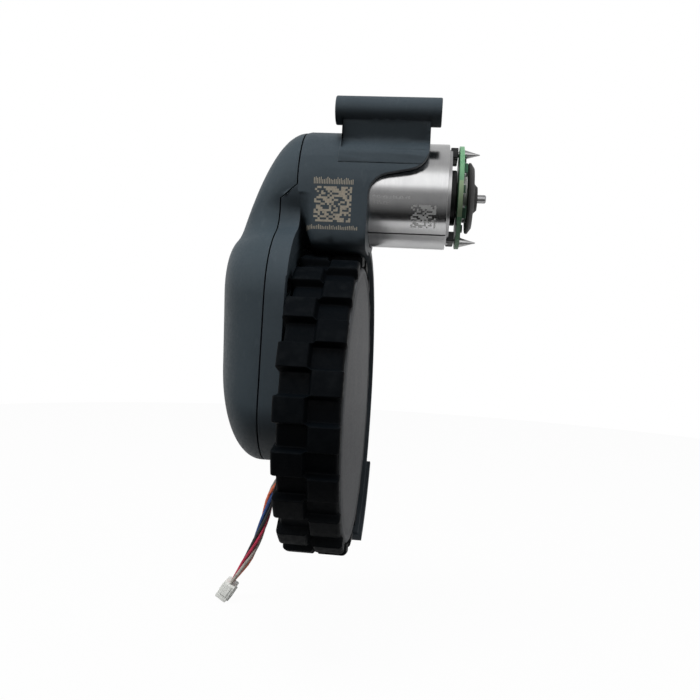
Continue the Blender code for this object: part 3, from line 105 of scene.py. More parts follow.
BOARD_RADIUS = 0.0119
BOARD_PALE_BAND = (-0.0232, -0.0154)
BOSS_RADIUS = 0.0034
BOSS_HEIGHT = 0.0007
DISC_LEFT_X = 0.0187
DISC_THICKNESS = 0.0015
DISC_RADIUS = 0.0082
CARRIER_RADIUS = 0.0056
SHAFT_RADIUS = 0.001
TERMINAL_CIRCLE = 0.0104
TERMINAL_RADIUS = 0.0007
CONE_RADIUS = 0.0012
CONE_LENGTH = 0.0036

# Gearbox shell: (y, z, radius) circles beside the wheel, and their moves towards the crown
RIM_CIRCLES = (
    (0.01, -0.0168, 0.0139), (0.0025, -0.0438, 0.017), (-0.0015, -0.0667, 0.013),
    (0.024, -0.0687, 0.011), (0.023, -0.0431, 0.012))
CROWN_MOVES = (
    (-0.0013, -0.0274, 0.01), (0.0029, 0.0035, 0.0069), (0.0097, 0.015, 0.0059),
    (-0.005, 0.0152, 0.0065), (-0.004, -0.001, 0.008))
ARM_RIM_X = -0.0184
COVER_RIM_X = -0.0186
CROWN_X = -0.03435
VALLEY_RADIUS = 0.005
CROWN_START = 0.32
DOME_POWER = 2.2
FORM_STEPS = 24
FORM_DEPTHS = 90
FORM_TOUCH = 0.0004
FORM_SAG = 0.0008
FORM_EDGE = 0.0011

# Arm: pivot tube and its turned sleeve
TUBE_RADIUS = 0.0032
TUBE_BORE = 0.0016
TUBE_HALF = 0.0119
SLEEVE_SKIN = 0.0001
SLEEVE_EDGE = 0.00032

# Arm: where the saddle's step runs out, and the neck's front, which slopes back below the tube
SADDLE_RADIUS = 0.0146
SADDLE_STEP = 0.00047
SADDLE_FADE = -0.0104
SADDLE_END = -0.0124
SADDLE_TOUCH = 0.00006
NECK_FACE_Y = -0.002
NECK_TOP_Z = -0.0026
NECK_SLOPE = 0.3
NECK_VALLEY_Z = -0.004
NECK_EDGE = 0.0008

# Arm: how square the collar's lower front is, how far it hangs lower, and where along X that starts
COLLAR_SQUARE = 12.0
COLLAR_DROP = 0.07
COLLAR_SQUARE_X = -0.018
COLLAR_SQUARE_RUN = 0.003

# Round faces of the arm, and how finely they and the shell are split
ARM_ROUNDS = ((MOTOR_AXIS, COLLAR_RADIUS), (MOTOR_AXIS, SADDLE_RADIUS), (MOTOR_AXIS, 0.0125),
              (WHEEL_AXIS, 0.0362), (WHEEL_AXIS, 0.0378), (WHEEL_AXIS, 0.0381))
ROUND_TOUCH = 0.00004
ROUND_SAG = 0.0002
ROUND_EDGE = 0.0014
FORM_SPLITS = 4
ROUND_SPLITS = 6
WELD = 0.000002
FLAT_ANGLE = 0.3
SHARP_ANGLE = 32.0

# Cords: the same route and twist as the solids
WIRE_RADIUS = 0.00045
BUNDLE_CIRCLE = 0.00078
WIRE_TURNS = 1.25
WIRE_END_ANGLE = 162.0
WIRE_POINTS = 24
FAN_START = 0.86
PLUG_PITCH = 0.0011
PLUG_LENGTH = 0.0047
PLUG_WIDTH = 0.007
PLUG_THICKNESS = 0.0033
SLEEVE_RADIUS = 0.0015
HELD_ROUTE = (
    (0.017, 0.0226, -0.0168), (0.017, 0.0238, -0.0168), (0.0158, 0.0252, -0.0168),
    (0.013, 0.0259, -0.0168), (0.005, 0.026, -0.0168), (-0.008, 0.026, -0.0168),
    (-0.015, 0.0268, -0.0176), (-0.02, 0.029, -0.0206), (-0.0219, 0.0318, -0.0262),
    (-0.0219, 0.0344, -0.0334), (-0.0219, 0.0366, -0.042), (-0.0219, 0.0368, -0.052),
    (-0.0219, 0.0368, -0.065), (-0.0219, 0.0368, -0.0765))
FREE_ROUTE = (
    (-0.0219, 0.0368, -0.0768), (-0.0221, 0.0368, -0.08), (-0.0236, 0.0366, -0.0845),
    (-0.0262, 0.0363, -0.0895), (-0.0286, 0.0358, -0.0945), (-0.0296, 0.035, -0.0994),
    (-0.0309, 0.034, -0.1048), (-0.0328, 0.033, -0.1102), (-0.0351, 0.0323, -0.1145),
    (-0.0372, 0.032, -0.118))

# Wheel: rounding at the lugs' flanks, between the rows in shares of the width, and at the tyre's edges
LUG_FILLET = 0.0008
ROW_FILLET = 0.07
EDGE_ROUND = 0.0009

# Etched marks: range along X, range of height or of angle in degrees, and cells across
SEED = 7.0
MARK_FILL = 0.46
MARK_MARGIN = 0.001
MARK_BACK = 0.002
HOUSING_SQUARE = ((-0.0152, -0.0069), (-0.0183, -0.0262), 17.0)
HOUSING_ROWS = (((-0.0155, -0.0065), (-0.0178, -0.0162), 24.0),
                ((-0.0172, -0.0051), (-0.0279, -0.0268), 30.0))
HOUSING_INK = (0.27, 0.24, 0.19)
RING_SQUARE = ((0.0062, 0.0118), (-21.0, -46.8), 13.0)
RING_ROWS = (((-0.0024, 0.006), (-15.5, -12.0), 26.0), ((-0.0024, 0.0012), (-21.5, -18.0), 11.0))
RING_INK = (0.8, 0.8, 0.79)
RING_SQUARE_SHARE = 0.8
RING_ROW_SHARE = 0.45

# Grain of the moulded plastic, and the streaks of turned and drawn metal
MOULD_GRAIN = 0.000012
STREAK_SCALE = 5200.0
STREAK_STRETCH = (1.0, 0.04, 0.04)

# Floor, lamps and the room that gloss shows: its brightness by angle, 0 in front, 90 overhead and
# white behind
FLOOR_RADIUS = 0.46
FLOOR_BACK = 0.42
FLOOR_SEEN = 0.97
FLOOR_MIRRORED = 0.1
FLOOR_COLOUR = (0.4, 0.4, 0.4, 1.0)
WHITE = (1.0, 1.0, 1.0, 1.0)
ROOM_LEVEL = 0.12
ROOM_BANDS = (
    (-150.0, 0.5), (-110.0, 0.3), (-88.0, 0.08), (-70.0, 0.01), (-52.0, 0.01), (-36.0, 0.12),
    (-22.0, 0.24), (-4.0, 0.26), (5.0, 0.5), (12.0, 1.2), (36.0, 1.25), (47.0, 0.62), (62.0, 0.42),
    (100.0, 0.5), (134.0, 0.55), (160.0, 0.75))
LAMPS = (("key", (-0.1, -0.21, 0.56), 0.3, 6.6),
         ("fill", (-0.42, -0.24, 0.36), 0.35, 1.5),
         ("side", (0.5, -0.1, 0.2), 0.35, 1.0))


# Camera

def make_camera():
    turn, rise, roll = (math.radians(a) for a in (CAMERA_AZIMUTH, CAMERA_ELEVATION, CAMERA_ROLL))
    back = Vector((math.sin(turn) * math.cos(rise), -math.cos(turn) * math.cos(rise), math.sin(rise)))
    level = Vector((math.cos(turn), math.sin(turn), 0))
    above = level.cross(back) * -1
    right = level * math.cos(roll) + above * math.sin(roll)
    up = above * math.cos(roll) - level * math.sin(roll)
    camera = link("camera", bpy.data.cameras.new("camera"))
    place = Matrix((right, up, back)).transposed().to_4x4()
    place.translation = Vector(CAMERA_AIM) + back * CAMERA_DISTANCE
    camera.matrix_world = place
    camera.data.sensor_width = SENSOR_MM
    camera.data.lens = SENSOR_MM * FOCAL_PIXELS / IMAGE_PIXELS
    camera.data.clip_start = 0.001
    bpy.context.scene.camera = camera


# Materials

class Nodes:
    """Short calls for the nodes of one tree."""

    prefix = "ShaderNode"

    def __init__(self, tree):
        self.tree = tree

    def feed(self, socket, value):
        if isinstance(value, bpy.types.NodeSocket):
            self.tree.links.new(value, socket)
        else:
            socket.default_value = value

    def node(self, kind, inputs=None, **settings):
        made = self.tree.nodes.new(self.prefix + kind)
        for key, value in settings.items():
            setattr(made, key, value)
        for key, value in (inputs or {}).items():
            self.feed(made.inputs[key], value)
        return made

    def maths(self, operation, *values):
        return self.node("Math", dict(enumerate(values)), operation=operation).outputs[0]

    def product(self, first, *others, operation="MULTIPLY"):
        for other in others:
            first = self.maths(operation, first, other)
        return first

    def largest(self, *values):
        return self.product(*values, operation="MAXIMUM")


class Finish(Nodes):
    """A node material on the Principled shader."""

    def __init__(self, name, colour, roughness, metallic=0.0, specular=0.5):
        self.material = bpy.data.materials.new(name)
        self.material.use_nodes = True
        super().__init__(self.material.node_tree)
        self.shader = self.tree.nodes["Principled BSDF"]
        for key, value in (("Base Color", (*colour, 1.0)), ("Roughness", roughness),
                           ("Metallic", metallic), ("Specular IOR Level", specular)):
            self.shader.inputs[key].default_value = value
        self.place = self.node("TexCoord").outputs["Object"]

    def split(self):
        return self.node("SeparateXYZ", {0: self.place}).outputs

    def between(self, value, low, high):
        return self.product(self.maths("GREATER_THAN", value, low), self.maths("LESS_THAN", value, high))

    def noise(self, scale, detail=3.0, stretch=(1, 1, 1)):
        moved = self.node("Mapping", {"Vector": self.place, "Scale": stretch})
        made = self.node("TexNoise", {"Vector": moved.outputs[0], "Scale": scale, "Detail": detail})
        return made.outputs["Fac"]

    def ramp(self, value, low, high, start=0.0, end=1.0):
        made = self.node("MapRange", {"Value": value, "From Min": low, "From Max": high,
                                                "To Min": start, "To Max": end})
        return made.outputs[0]

    def cloud(self, scale, detail, start=0.0, end=1.0, stretch=(1, 1, 1)):
        """Noise spread over its usual range."""
        return self.ramp(self.noise(scale, detail, stretch), 0.3, 0.7, start, end)

    def chance(self, *cell):
        """Random number of a cell, the same on each run."""
        spot = self.node("CombineXYZ", dict(enumerate(cell))).outputs[0]
        made = self.node("TexWhiteNoise", {"Vector": spot}, noise_dimensions="3D")
        return made.outputs["Value"]

    def mix(self, share, low, high):
        made = self.node("Mix", data_type="RGBA")
        self.feed(made.inputs["Factor"], share)
        for socket, value in zip(made.inputs[6:8], (low, high)):
            self.feed(socket, value if isinstance(value, bpy.types.NodeSocket) else (*value, 1.0))
        return made.outputs[2]

    def edges(self, radius):
        """(share near sharp edges, rounded normal)."""
        rounded = self.node("Bevel", {"Radius": radius}, samples=4).outputs[0]
        flat = self.node("NewGeometry").outputs["Normal"]
        same = self.node("VectorMath", {0: rounded, 1: flat}, operation="DOT_PRODUCT")
        return self.ramp(same.outputs["Value"], 1.0, 0.86), rounded

    def coat(self, colour, roughness, height=None, grain=0.0, strength=0.5, normal=None):
        """Feeds the shader; a height makes a bump."""
        self.feed(self.shader.inputs["Base Color"], colour)
        self.feed(self.shader.inputs["Roughness"], roughness)
        if height is not None:
            made = self.node("Bump", {"Height": height, "Distance": grain, "Strength": strength})
            if normal is not None:
                self.feed(made.inputs["Normal"], normal)
            self.feed(self.shader.inputs["Normal"], made.outputs[0])

    def round_place(self, axis):
        """(distance along X, angle up from the front in degrees, radius) about an axis along X."""
        split = self.split()
        ahead = self.maths("SUBTRACT", axis[0], split[1])
        above = self.maths("SUBTRACT", split[2], axis[1])
        angle = self.maths("DEGREES", self.maths("ARCTAN2", above, ahead))
        squares = self.maths("ADD", self.product(ahead, ahead), self.product(above, above))
        radius = self.maths("SQRT", squares)
        return split[0], angle, radius


def etched(look, along, angle, x_range, angle_range, cells):
    """Share of a generic etched square: random small squares."""
    u = look.ramp(along, *x_range)
    v = look.ramp(angle, *angle_range)
    chance = look.chance(*(look.maths("FLOOR", look.product(place, cells)) for place in (u, v)), SEED)
    inside = look.product(*(look.between(place, MARK_MARGIN, 1 - MARK_MARGIN) for place in (u, v)))
    return look.product(inside, look.maths("GREATER_THAN", chance, MARK_FILL))


def ticks(look, along, angle, x_range, angle_range, count):
    """Share of a row of short plain bars of uneven length."""
    u = look.product(look.ramp(along, *x_range), count)
    v = look.ramp(angle, *angle_range)
    bar = look.maths("LESS_THAN", look.maths("FRACT", u), 0.5)
    length = look.ramp(look.chance(look.maths("FLOOR", u), SEED), 0.0, 1.0, 0.55, 0.98)
    inside = look.product(look.between(u, MARK_MARGIN, count - MARK_MARGIN), look.between(v, 0.02, length))
    return look.product(inside, bar)


def moulded(name, dark, light, scuff_and_sheen_tone, roughness):
    """Spark-textured moulding with faint mottling, paler scuffs, and smoother edges that are painted paler
    as a painted highlight.
    """
    look = Finish(name, dark, roughness, specular=0.35)
    edge, rounded = look.edges(0.00022)
    mottle = look.ramp(look.noise(90.0, 4.0), 0.35, 0.7)
    scuff = look.ramp(look.noise(700.0, 6.0, (1, 0.3, 0.3)), 0.62, 0.74, 0.0, 0.25)
    # Pale scuffs, and a painted highlight along the sharp edges.
    wear_and_sheen = look.largest(look.product(edge, 0.45), scuff)
    base = look.mix(wear_and_sheen, look.mix(mottle, dark, light), scuff_and_sheen_tone)
    uneven = look.cloud(1600.0, 3.0, roughness - 0.06, roughness + 0.08)
    look.coat(base, uneven, look.noise(3800.0, 2.0), MOULD_GRAIN, 0.55, rounded)
    return look, base, uneven


def make_housing():
    look, base, uneven = moulded("housing_moulding", (0.024, 0.033, 0.04), (0.029, 0.039, 0.047),
                                 (0.062, 0.074, 0.084), 0.52)
    along, back, height = look.split()
    ink = look.largest(etched(look, along, height, *HOUSING_SQUARE),
                       *(ticks(look, along, height, *row) for row in HOUSING_ROWS))
    ink = look.product(ink, look.maths("LESS_THAN", back, MARK_BACK),
                       look.ramp(look.noise(2600.0, 3.0), 0.25, 0.55, 0.55, 0.95))
    look.coat(look.mix(ink, base, HOUSING_INK), uneven)
    return look.material


def make_rubber():
    look = Finish("tyre_rubber", (0.002, 0.003, 0.004), 0.58, specular=0.06)
    # The lug tops are painted paler in patches, partly dust and partly a painted highlight, and the sharp
    # edges are painted paler as a painted highlight.
    dust_and_sheen = look.ramp(look.noise(420.0, 6.0), 0.45, 0.75)
    edge, rounded = look.edges(0.0002)
    top = look.ramp(look.round_place(WHEEL_AXIS)[2], WHEEL_RADIUS - 0.0007, WHEEL_RADIUS - 0.0001)
    wear_and_sheen = look.maths("ADD", look.product(top, dust_and_sheen, 0.5), look.product(edge, 0.35))
    look.coat(look.mix(wear_and_sheen, (0.0012, 0.0018, 0.0025), (0.006, 0.007, 0.008)),
              look.cloud(900.0, 4.0, 0.46, 0.66), look.noise(2600.0, 4.0), 0.00003, 0.5, rounded)
    return look.material


def make_metal(name, dark, light, roughness, grain=0.000003):
    """Turned or drawn metal with fine streaks round the X axis."""
    look = Finish(name, light, roughness, 1.0)
    streak = look.noise(STREAK_SCALE, 4.0, STREAK_STRETCH)
    share = look.maths("ADD", look.ramp(streak, 0.3, 0.7, 0.0, 0.35), look.cloud(260.0, 4.0, 0.0, 0.65))
    uneven = look.cloud(1400.0, 4.0, roughness - 0.03, roughness + 0.04, STREAK_STRETCH)
    look.coat(look.mix(share, dark, light), uneven, streak, grain, 0.3)
    return look


def make_ring_metal():
    look = make_metal("zinc_plate", (0.62, 0.62, 0.63), (0.74, 0.74, 0.74), 0.18, grain=0.0000012)
    along, angle, radius = look.round_place(MOTOR_AXIS)
    rows = (look.product(ticks(look, along, angle, *row), RING_ROW_SHARE) for row in RING_ROWS)
    ink = look.largest(look.product(etched(look, along, angle, *RING_SQUARE), RING_SQUARE_SHARE), *rows)
    ink = look.product(ink, look.maths("GREATER_THAN", radius, RING_RADIUS - 0.0001))
    base = look.shader.inputs["Base Color"].links[0].from_socket
    look.coat(look.mix(ink, base, RING_INK), look.ramp(ink, 0.0, 1.0, 0.18, 0.6))
    return look.material


def make_cap_finish():
    look = Finish("hub_cap_plastic", (0.055, 0.058, 0.062), 0.55, specular=0.1)
    edge, rounded = look.edges(0.0002)
    base = look.mix(look.cloud(160.0, 5.0), (0.055, 0.058, 0.062), (0.068, 0.07, 0.074))
    # The sharp edges are painted pale grey: a painted highlight.
    look.coat(look.mix(look.product(edge, 0.6), base, (0.3, 0.3, 0.3)),
              look.cloud(1900.0, 4.0, 0.5, 0.62), look.noise(4200.0, 2.0), 0.000008, 0.5, rounded)
    return look.material


def make_board_finish():
    """Solder mask over copper tracks on the faces, paler laminate on the cut edge."""
    look = Finish("board_laminate", (0.1, 0.26, 0.14), 0.42)
    cell = look.node("TexVoronoi", {"Vector": look.place, "Scale": 520.0},
                     feature="DISTANCE_TO_EDGE", distance="MANHATTAN").outputs["Distance"]
    track = look.between(cell, 0.06, 0.16)
    mask = look.mix(look.product(track, 0.6), (0.06, 0.17, 0.085), (0.1, 0.25, 0.13))
    edge = look.maths("GREATER_THAN", look.round_place(MOTOR_AXIS)[2], BOARD_RADIUS - 0.00025)
    fibre = look.cloud(2600.0, 3.0, stretch=(1, 0.2, 0.2))
    height = look.split()[2]
    # A paler band on the cut edge, between two heights.
    pale_band = look.product(look.between(height, *BOARD_PALE_BAND), 0.8)
    cut_edge = look.mix(fibre, (0.075, 0.2, 0.105), (0.13, 0.27, 0.15))
    look.coat(look.mix(edge, mask, look.mix(pale_band, cut_edge, (0.23, 0.29, 0.18))),
              look.ramp(fibre, 0.0, 1.0, 0.3, 0.5), cell, 0.00002, 0.4)
    return look.material


def make_plain(name, dark, light, roughness, metallic=0.0, scale=600.0, grain=0.000003):
    """Plain moulded, sintered or drawn stuff with fine mottling."""
    look = Finish(name, light, roughness, metallic)
    uneven = look.cloud(scale * 3, 3.0, roughness - 0.06, roughness + 0.08)
    look.coat(look.mix(look.cloud(scale, 4.0), dark, light), uneven, look.noise(scale * 5, 3.0), grain)
    return look.material


# Shape helpers

def ease(value):
    value = max(0.0, min(1.0, value))
    return value * value * (3 - 2 * value)


def link(name, data):
    """New object in the scene."""
    item = bpy.data.objects.new(name, data)
    bpy.context.scene.collection.objects.link(item)
    return item


def mesh_of(name, work, look):
    """Mesh of a bmesh, which is used up."""
    mesh = bpy.data.meshes.new(name)
    work.to_mesh(mesh)
    work.free()
    mesh.materials.append(look)
    return mesh


def add_piece(name, work, look, body, slot, *stands_for, sharp=SHARP_ANGLE):
    """Turns a bmesh into a smooth-shaded piece that rides on a body."""
    bmesh.ops.recalc_face_normals(work, faces=work.faces)
    mesh = mesh_of(name, work, look)
    mesh.shade_smooth()
    mesh.set_sharp_from_angle(angle=math.radians(sharp))
    piece = link(name, mesh)
    piece.modifiers.new("even_normals", "WEIGHTED_NORMAL").keep_sharp = True
    return seat(piece, body, slot, *stands_for)


def seat(piece, body, slot, *stands_for):
    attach(piece, body)
    if stands_for:
        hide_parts(*stands_for)
    return piece


def ring_of(work, section, angle, axis):
    """One section of (radius, x) points, placed at an angle round an axis parallel to X."""
    c, s = math.cos(angle), math.sin(angle)
    return [work.verts.new((x, axis[0] + radius * c, axis[1] + radius * s)) for radius, x in section]


def join_rings(work, near, far, closed=True):
    if closed:
        near, far = near + near[:1], far + far[:1]
    for corners in zip(near, near[1:], far[1:], far):
        work.faces.new(corners)


def lathe(section_at, turns, axis):
    """Closed sections at angles in turns, joined all the way round."""
    work = bmesh.new()
    rings = [ring_of(work, section_at(turn), math.tau * turn, axis) for turn in turns]
    for near, far in zip(rings, rings[1:] + rings[:1]):
        join_rings(work, near, far)
    return work


def turned(section, axis, steps=96):
    return lathe(lambda turn: section, [i / steps for i in range(steps)], axis)


def turned_solid(profile, axis, steps=48):
    """Open profile turned a full circle, closed by a fan at each end on the axis."""
    work = bmesh.new()
    rings = [ring_of(work, profile[1:-1], math.tau * i / steps, axis) for i in range(steps)]
    first = work.verts.new((profile[0][1], *axis))
    last = work.verts.new((profile[-1][1], *axis))
    for near, far in zip(rings, rings[1:] + rings[:1]):
        join_rings(work, near, far, closed=False)
        work.faces.new((first, near[0], far[0]))
        work.faces.new((last, far[-1], near[-1]))
    return work


def softened(corners, radius, steps=3):
    """Section with each convex corner rounded; corners are (radius, x) points."""
    loop = []
    count = len(corners)
    for i, corner in enumerate(corners):
        here = Vector(corner)
        before = Vector(corners[i - 1]) - here
        after = Vector(corners[(i + 1) % count]) - here
        cut = min(radius, before.length * 0.45, after.length * 0.45)
        start = here + before.normalized() * cut
        end = here + after.normalized() * cut
        for step in range(steps + 1):
            t = step / steps
            point = start.lerp(here, t).lerp(here.lerp(end, t), t)
            loop.append((point.x, point.y))
    return loop


def bevelled_box(work, low, high, size, place=None):
    """Box with rounded edges, added to a bmesh."""
    span = [b - a for a, b in zip(low, high)]
    middle = [(a + b) / 2 for a, b in zip(low, high)]
    matrix = (place or Matrix()) @ Matrix.Translation(middle) @ Matrix.Diagonal((*span, 1))
    made = bmesh.ops.create_cube(work, size=1.0, matrix=matrix)
    edges = {e for v in made["verts"] for e in v.link_edges}
    bmesh.ops.bevel(work, geom=list(edges), offset=size, segments=2, affect="EDGES", profile=0.5)


# Cords

def smooth_route(route, count):
    """Evenly spaced points on one smooth curve through the given points."""
    points = [Vector(p) for p in route]
    padded = [2 * points[0] - points[1]] + points + [2 * points[-1] - points[-2]]
    fine = []
    for i in range(1, len(padded) - 2):
        before, start, end, after = padded[i - 1:i + 3]
        for step in range(12):
            t = step / 12
            fine.append(0.5 * (2 * start + (end - before) * t
                               + (2 * before - 5 * start + 4 * end - after) * t ** 2
                               + (3 * start - before - 3 * end + after) * t ** 3))
    fine.append(points[-1])
    run = [0.0]
    for a, b in zip(fine, fine[1:]):
        run.append(run[-1] + (b - a).length)
    even = []
    j = 0
    for i in range(count):
        target = run[-1] * i / (count - 1)
        while j < len(run) - 2 and run[j + 1] < target:
            j += 1
        share = (target - run[j]) / (run[j + 1] - run[j])
        even.append(fine[j].lerp(fine[j + 1], share))
    return even


def curve_piece(name, points, radius, look, resolution=5):
    curve = bpy.data.curves.new(name, "CURVE")
    curve.dimensions = "3D"
    curve.bevel_depth = radius
    curve.bevel_resolution = resolution
    curve.use_fill_caps = True
    spline = curve.splines.new("POLY")
    spline.points.add(len(points) - 1)
    for item, point in zip(spline.points, points):
        item.co = (*point, 1)
    spline.use_smooth = True
    curve.materials.append(look)
    return link(name, curve)


def wire_path(points, k, slot):
    """Path of one wire: twisted in the bundle, then side by side into the plug."""
    path = []
    for i, point in enumerate(points):
        share = i / (len(points) - 1)
        ahead = points[min(i + 1, len(points) - 1)] - points[max(i - 1, 0)]
        across = Vector((0, 1, 0))
        across = (across - ahead * (across.dot(ahead) / ahead.length_squared)).normalized()
        other = ahead.cross(across).normalized()
        twist = min(share, FAN_START) / FAN_START
        angle = math.radians(WIRE_END_ANGLE) + math.tau * (k / 5 - WIRE_TURNS * (1 - twist))
        bundle = BUNDLE_CIRCLE * Vector((math.cos(angle), math.sin(angle)))
        fan = max(0.0, (share - FAN_START) / (1 - FAN_START))
        offset = bundle.lerp(Vector(((slot - 2) * PLUG_PITCH, 0)), fan)
        path.append(point + across * offset.x + other * offset.y)
    return path


def make_plug(end, direction, look):
    """Crimp housing with a small raised pad by each wire and a ridge on one side."""
    along = direction.normalized()
    across = Vector((0, 1, 0))
    across = (across - along * across.dot(along)).normalized()
    turn = Matrix((across, along.cross(across), along)).transposed().to_4x4()
    place = Matrix.Translation(end + along * (PLUG_LENGTH / 2 + GAP)) @ turn
    wide, thick, long = PLUG_WIDTH, PLUG_THICKNESS, PLUG_LENGTH
    boxes = [((0.0002 - wide / 2, -thick / 2, -long / 2), (wide / 2 - 0.0002, thick / 2, long / 2), 0.0003),
             ((-wide * 0.32, thick * 0.4, -long * 0.3), (wide * 0.32, thick * 0.62, long * 0.4), 0.00015)]
    for low, high in ((-wide / 2, 0.0008 - wide / 2), (wide / 2 - 0.0008, wide / 2)):
        boxes.append(((low, -thick * 0.3, -long * 0.46), (high, thick * 0.3, long * 0.2), 0.00012))
    for wire in range(5):
        middle = (wire - 2) * PLUG_PITCH
        boxes.append(((middle - 0.00036, -thick / 2 - 0.00012, -long * 0.34),
                      (middle + 0.00036, -thick * 0.4, long * 0.1), 0.00008))
    work = bmesh.new()
    for low, high, edge in boxes:
        bevelled_box(work, low, high, edge, place)
    return add_piece("plug_housing", work, look, "arm", "plug", "wire_plug")


def make_harness(wire_looks, sleeve_look, plug_look):
    seat(curve_piece("sleeve_tube", smooth_route(HELD_ROUTE, 120), SLEEVE_RADIUS, sleeve_look, 7),
         "arm", "sleeve", "harness_sleeve")
    points = smooth_route(FREE_ROUTE, WIRE_POINTS)
    plug = make_plug(points[-1], points[-1] - points[-2], plug_look)
    slots = (0, 1, 4, 2, 3)
    for k, (colour, look) in enumerate(wire_looks.items()):
        path = wire_path(points, k, slots.index(k))
        piece = curve_piece(f"lead_{colour}", path, WIRE_RADIUS, look)
        seat(piece, "arm", f"wire_{colour}", f"wire_{colour}")


# Wheel

def lug_rise(turn, row):
    """How far a row's lug stands up at an angle in turns."""
    across = ((turn - 0.5) * LUG_COUNT - 0.5 * row + 0.5) % 1.0 - 0.5
    pitch = math.tau * WHEEL_RADIUS / LUG_COUNT
    inside = (LUG_SHARE / 2 - abs(across)) * pitch
    return ease(inside / LUG_FILLET + 0.5)


def tread_turns():
    """Angles in turns, close together at the lug edges."""
    shares = [0.0, 0.07, 0.14, 0.19]
    shares += [0.21 + 0.08 * i / 10 for i in range(11)]
    shares += [0.31, 0.36, 0.43]
    shares += [share + 0.5 for share in shares]
    return [(i + share) / LUG_COUNT for i in range(LUG_COUNT) for share in sorted(shares)]


def tyre_section(turn):
    left_rise, right_rise = lug_rise(turn, 0), lug_rise(turn, 1)
    left = WHEEL_LEFT_X + TYRE_SHOULDER * (1 - left_rise)
    right = WHEEL_FACE_X - GAP - (TYRE_SHOULDER - GAP) * (1 - right_rise)
    base = WHEEL_RADIUS - LUG_HEIGHT
    shares = [0, 0.006, 0.015, 0.03, 0.048, 0.07, 0.14, 0.26, 0.38]
    shares += [0.46 + 0.01 * i for i in range(9)]
    shares += [0.62, 0.74, 0.86, 0.93, 0.952, 0.97, 0.985, 0.994, 1]
    section = []
    for share in shares:
        x = left + (right - left) * share
        row = ease((share - 0.5) / ROW_FILLET + 0.5)
        radius = base + LUG_HEIGHT * (left_rise * (1 - row) + right_rise * row)
        inset = max(0.0, EDGE_ROUND - min(x - left, right - x))
        radius -= EDGE_ROUND - math.sqrt(max(0.0, EDGE_ROUND ** 2 - inset ** 2))
        section.append((radius, x))
    middle = (WHEEL_LEFT_X + WHEEL_FACE_X) / 2
    groove = TYRE_BORE + TYRE_KEY_HEIGHT
    section += [(CAP_RADIUS + GAP, right), (CAP_RADIUS + GAP, CAP_RECESS_X), (TYRE_BORE, CAP_RECESS_X),
                (TYRE_BORE, middle + TYRE_KEY_HALF), (groove, middle + TYRE_KEY_HALF),
                (groove, middle - TYRE_KEY_HALF), (TYRE_BORE, middle - TYRE_KEY_HALF), (TYRE_BORE, left)]
    return section


def make_tyre(look):
    work = lathe(tyre_section, tread_turns(), WHEEL_AXIS)
    return add_piece("tyre_tread", work, look, "wheel", "tyre", "tyre", sharp=50.0)


def make_hub_cap(look):
    """Crowned disc with a raised bead at its edge."""
    drops = ((0, 0), (0.004, 0.00001), (0.01, 0.00004), (0.018, 0.0001), (0.025, 0.00022),
             (0.0285, 0.0003), (0.0296, 0.00034), (0.0299, 0.00052), (0.0305, 0.00052),
             (0.0308, 0.00032), (0.0312, 0.00022), (0.0317, 0.00026), (0.032, 0.00042),
             (CAP_RADIUS, 0.0007), (CAP_RADIUS, CAP_THICKNESS), (0, CAP_THICKNESS))
    profile = [(radius, WHEEL_FACE_X - drop) for radius, drop in drops]
    return add_piece("hub_cap_disc", turned_solid(profile, WHEEL_AXIS, 128), look, "wheel", "hub_cap",
                     "hub_cap", sharp=40.0)


# Motor

def make_flux_ring(look):
    """Rolled sleeve with its open seam and broken edges."""
    inner = RING_RADIUS - RING_WALL
    section = softened([(RING_RADIUS, RING_LEFT_X), (RING_RADIUS, RING_RIGHT_X), (inner, RING_RIGHT_X),
                        (inner, RING_LEFT_X)], 0.00015)
    half = math.degrees(RING_SLIT / 4 / RING_RADIUS)
    angles = [RING_SLIT_ANGLE + half + (360 - 2 * half) * i / 160 for i in range(161)]
    work = bmesh.new()
    rings = [ring_of(work, section, math.radians(angle), MOTOR_AXIS) for angle in angles]
    for near, far in zip(rings, rings[1:]):
        join_rings(work, near, far)
    work.faces.new(rings[0])
    work.faces.new(rings[-1])
    return add_piece("flux_sleeve", work, look, "arm", "zinc_plate", "flux_ring")


def make_end_cap(look):
    """Moulded end plate inside the can, with its bearing boss and a block under each terminal."""
    bore = SHAFT_RADIUS + GAP
    rear, face, edge = CAN_REAR_X, CAP_FACE_X, CAP_EDGE
    inside = rear - CAP_PLATE_DEPTH
    boss = face + BOSS_HEIGHT
    section = [(CAP_PLATE_RADIUS, inside), (CAP_PLATE_RADIUS, rear - edge),
               (CAP_PLATE_RADIUS - edge, rear), (CAP_DRUM_RADIUS + edge, rear),
               (CAP_DRUM_RADIUS, rear + edge), (CAP_DRUM_RADIUS, face - edge),
               (CAP_DRUM_RADIUS - edge, face), (BOSS_RADIUS, face),
               (BOSS_RADIUS, boss - edge), (BOSS_RADIUS - edge, boss), (bore, boss), (bore, inside)]
    work = turned(section, MOTOR_AXIS)
    for side in (-1, 1):
        low, high = sorted(side * reach for reach in CAP_BLOCK_REACH)
        for half, shift in ((0.0019, 0.0), (0.0008, 0.0031), (0.0008, -0.0031)):
            bevelled_box(work, (rear - 0.0004, MOTOR_AXIS[0] + shift - half, MOTOR_AXIS[1] + low),
                         (face, MOTOR_AXIS[0] + shift + half, MOTOR_AXIS[1] + high), 0.00018)
    return add_piece("motor_end_plate", work, look, "arm", "black_plastic", "motor_end_cap")


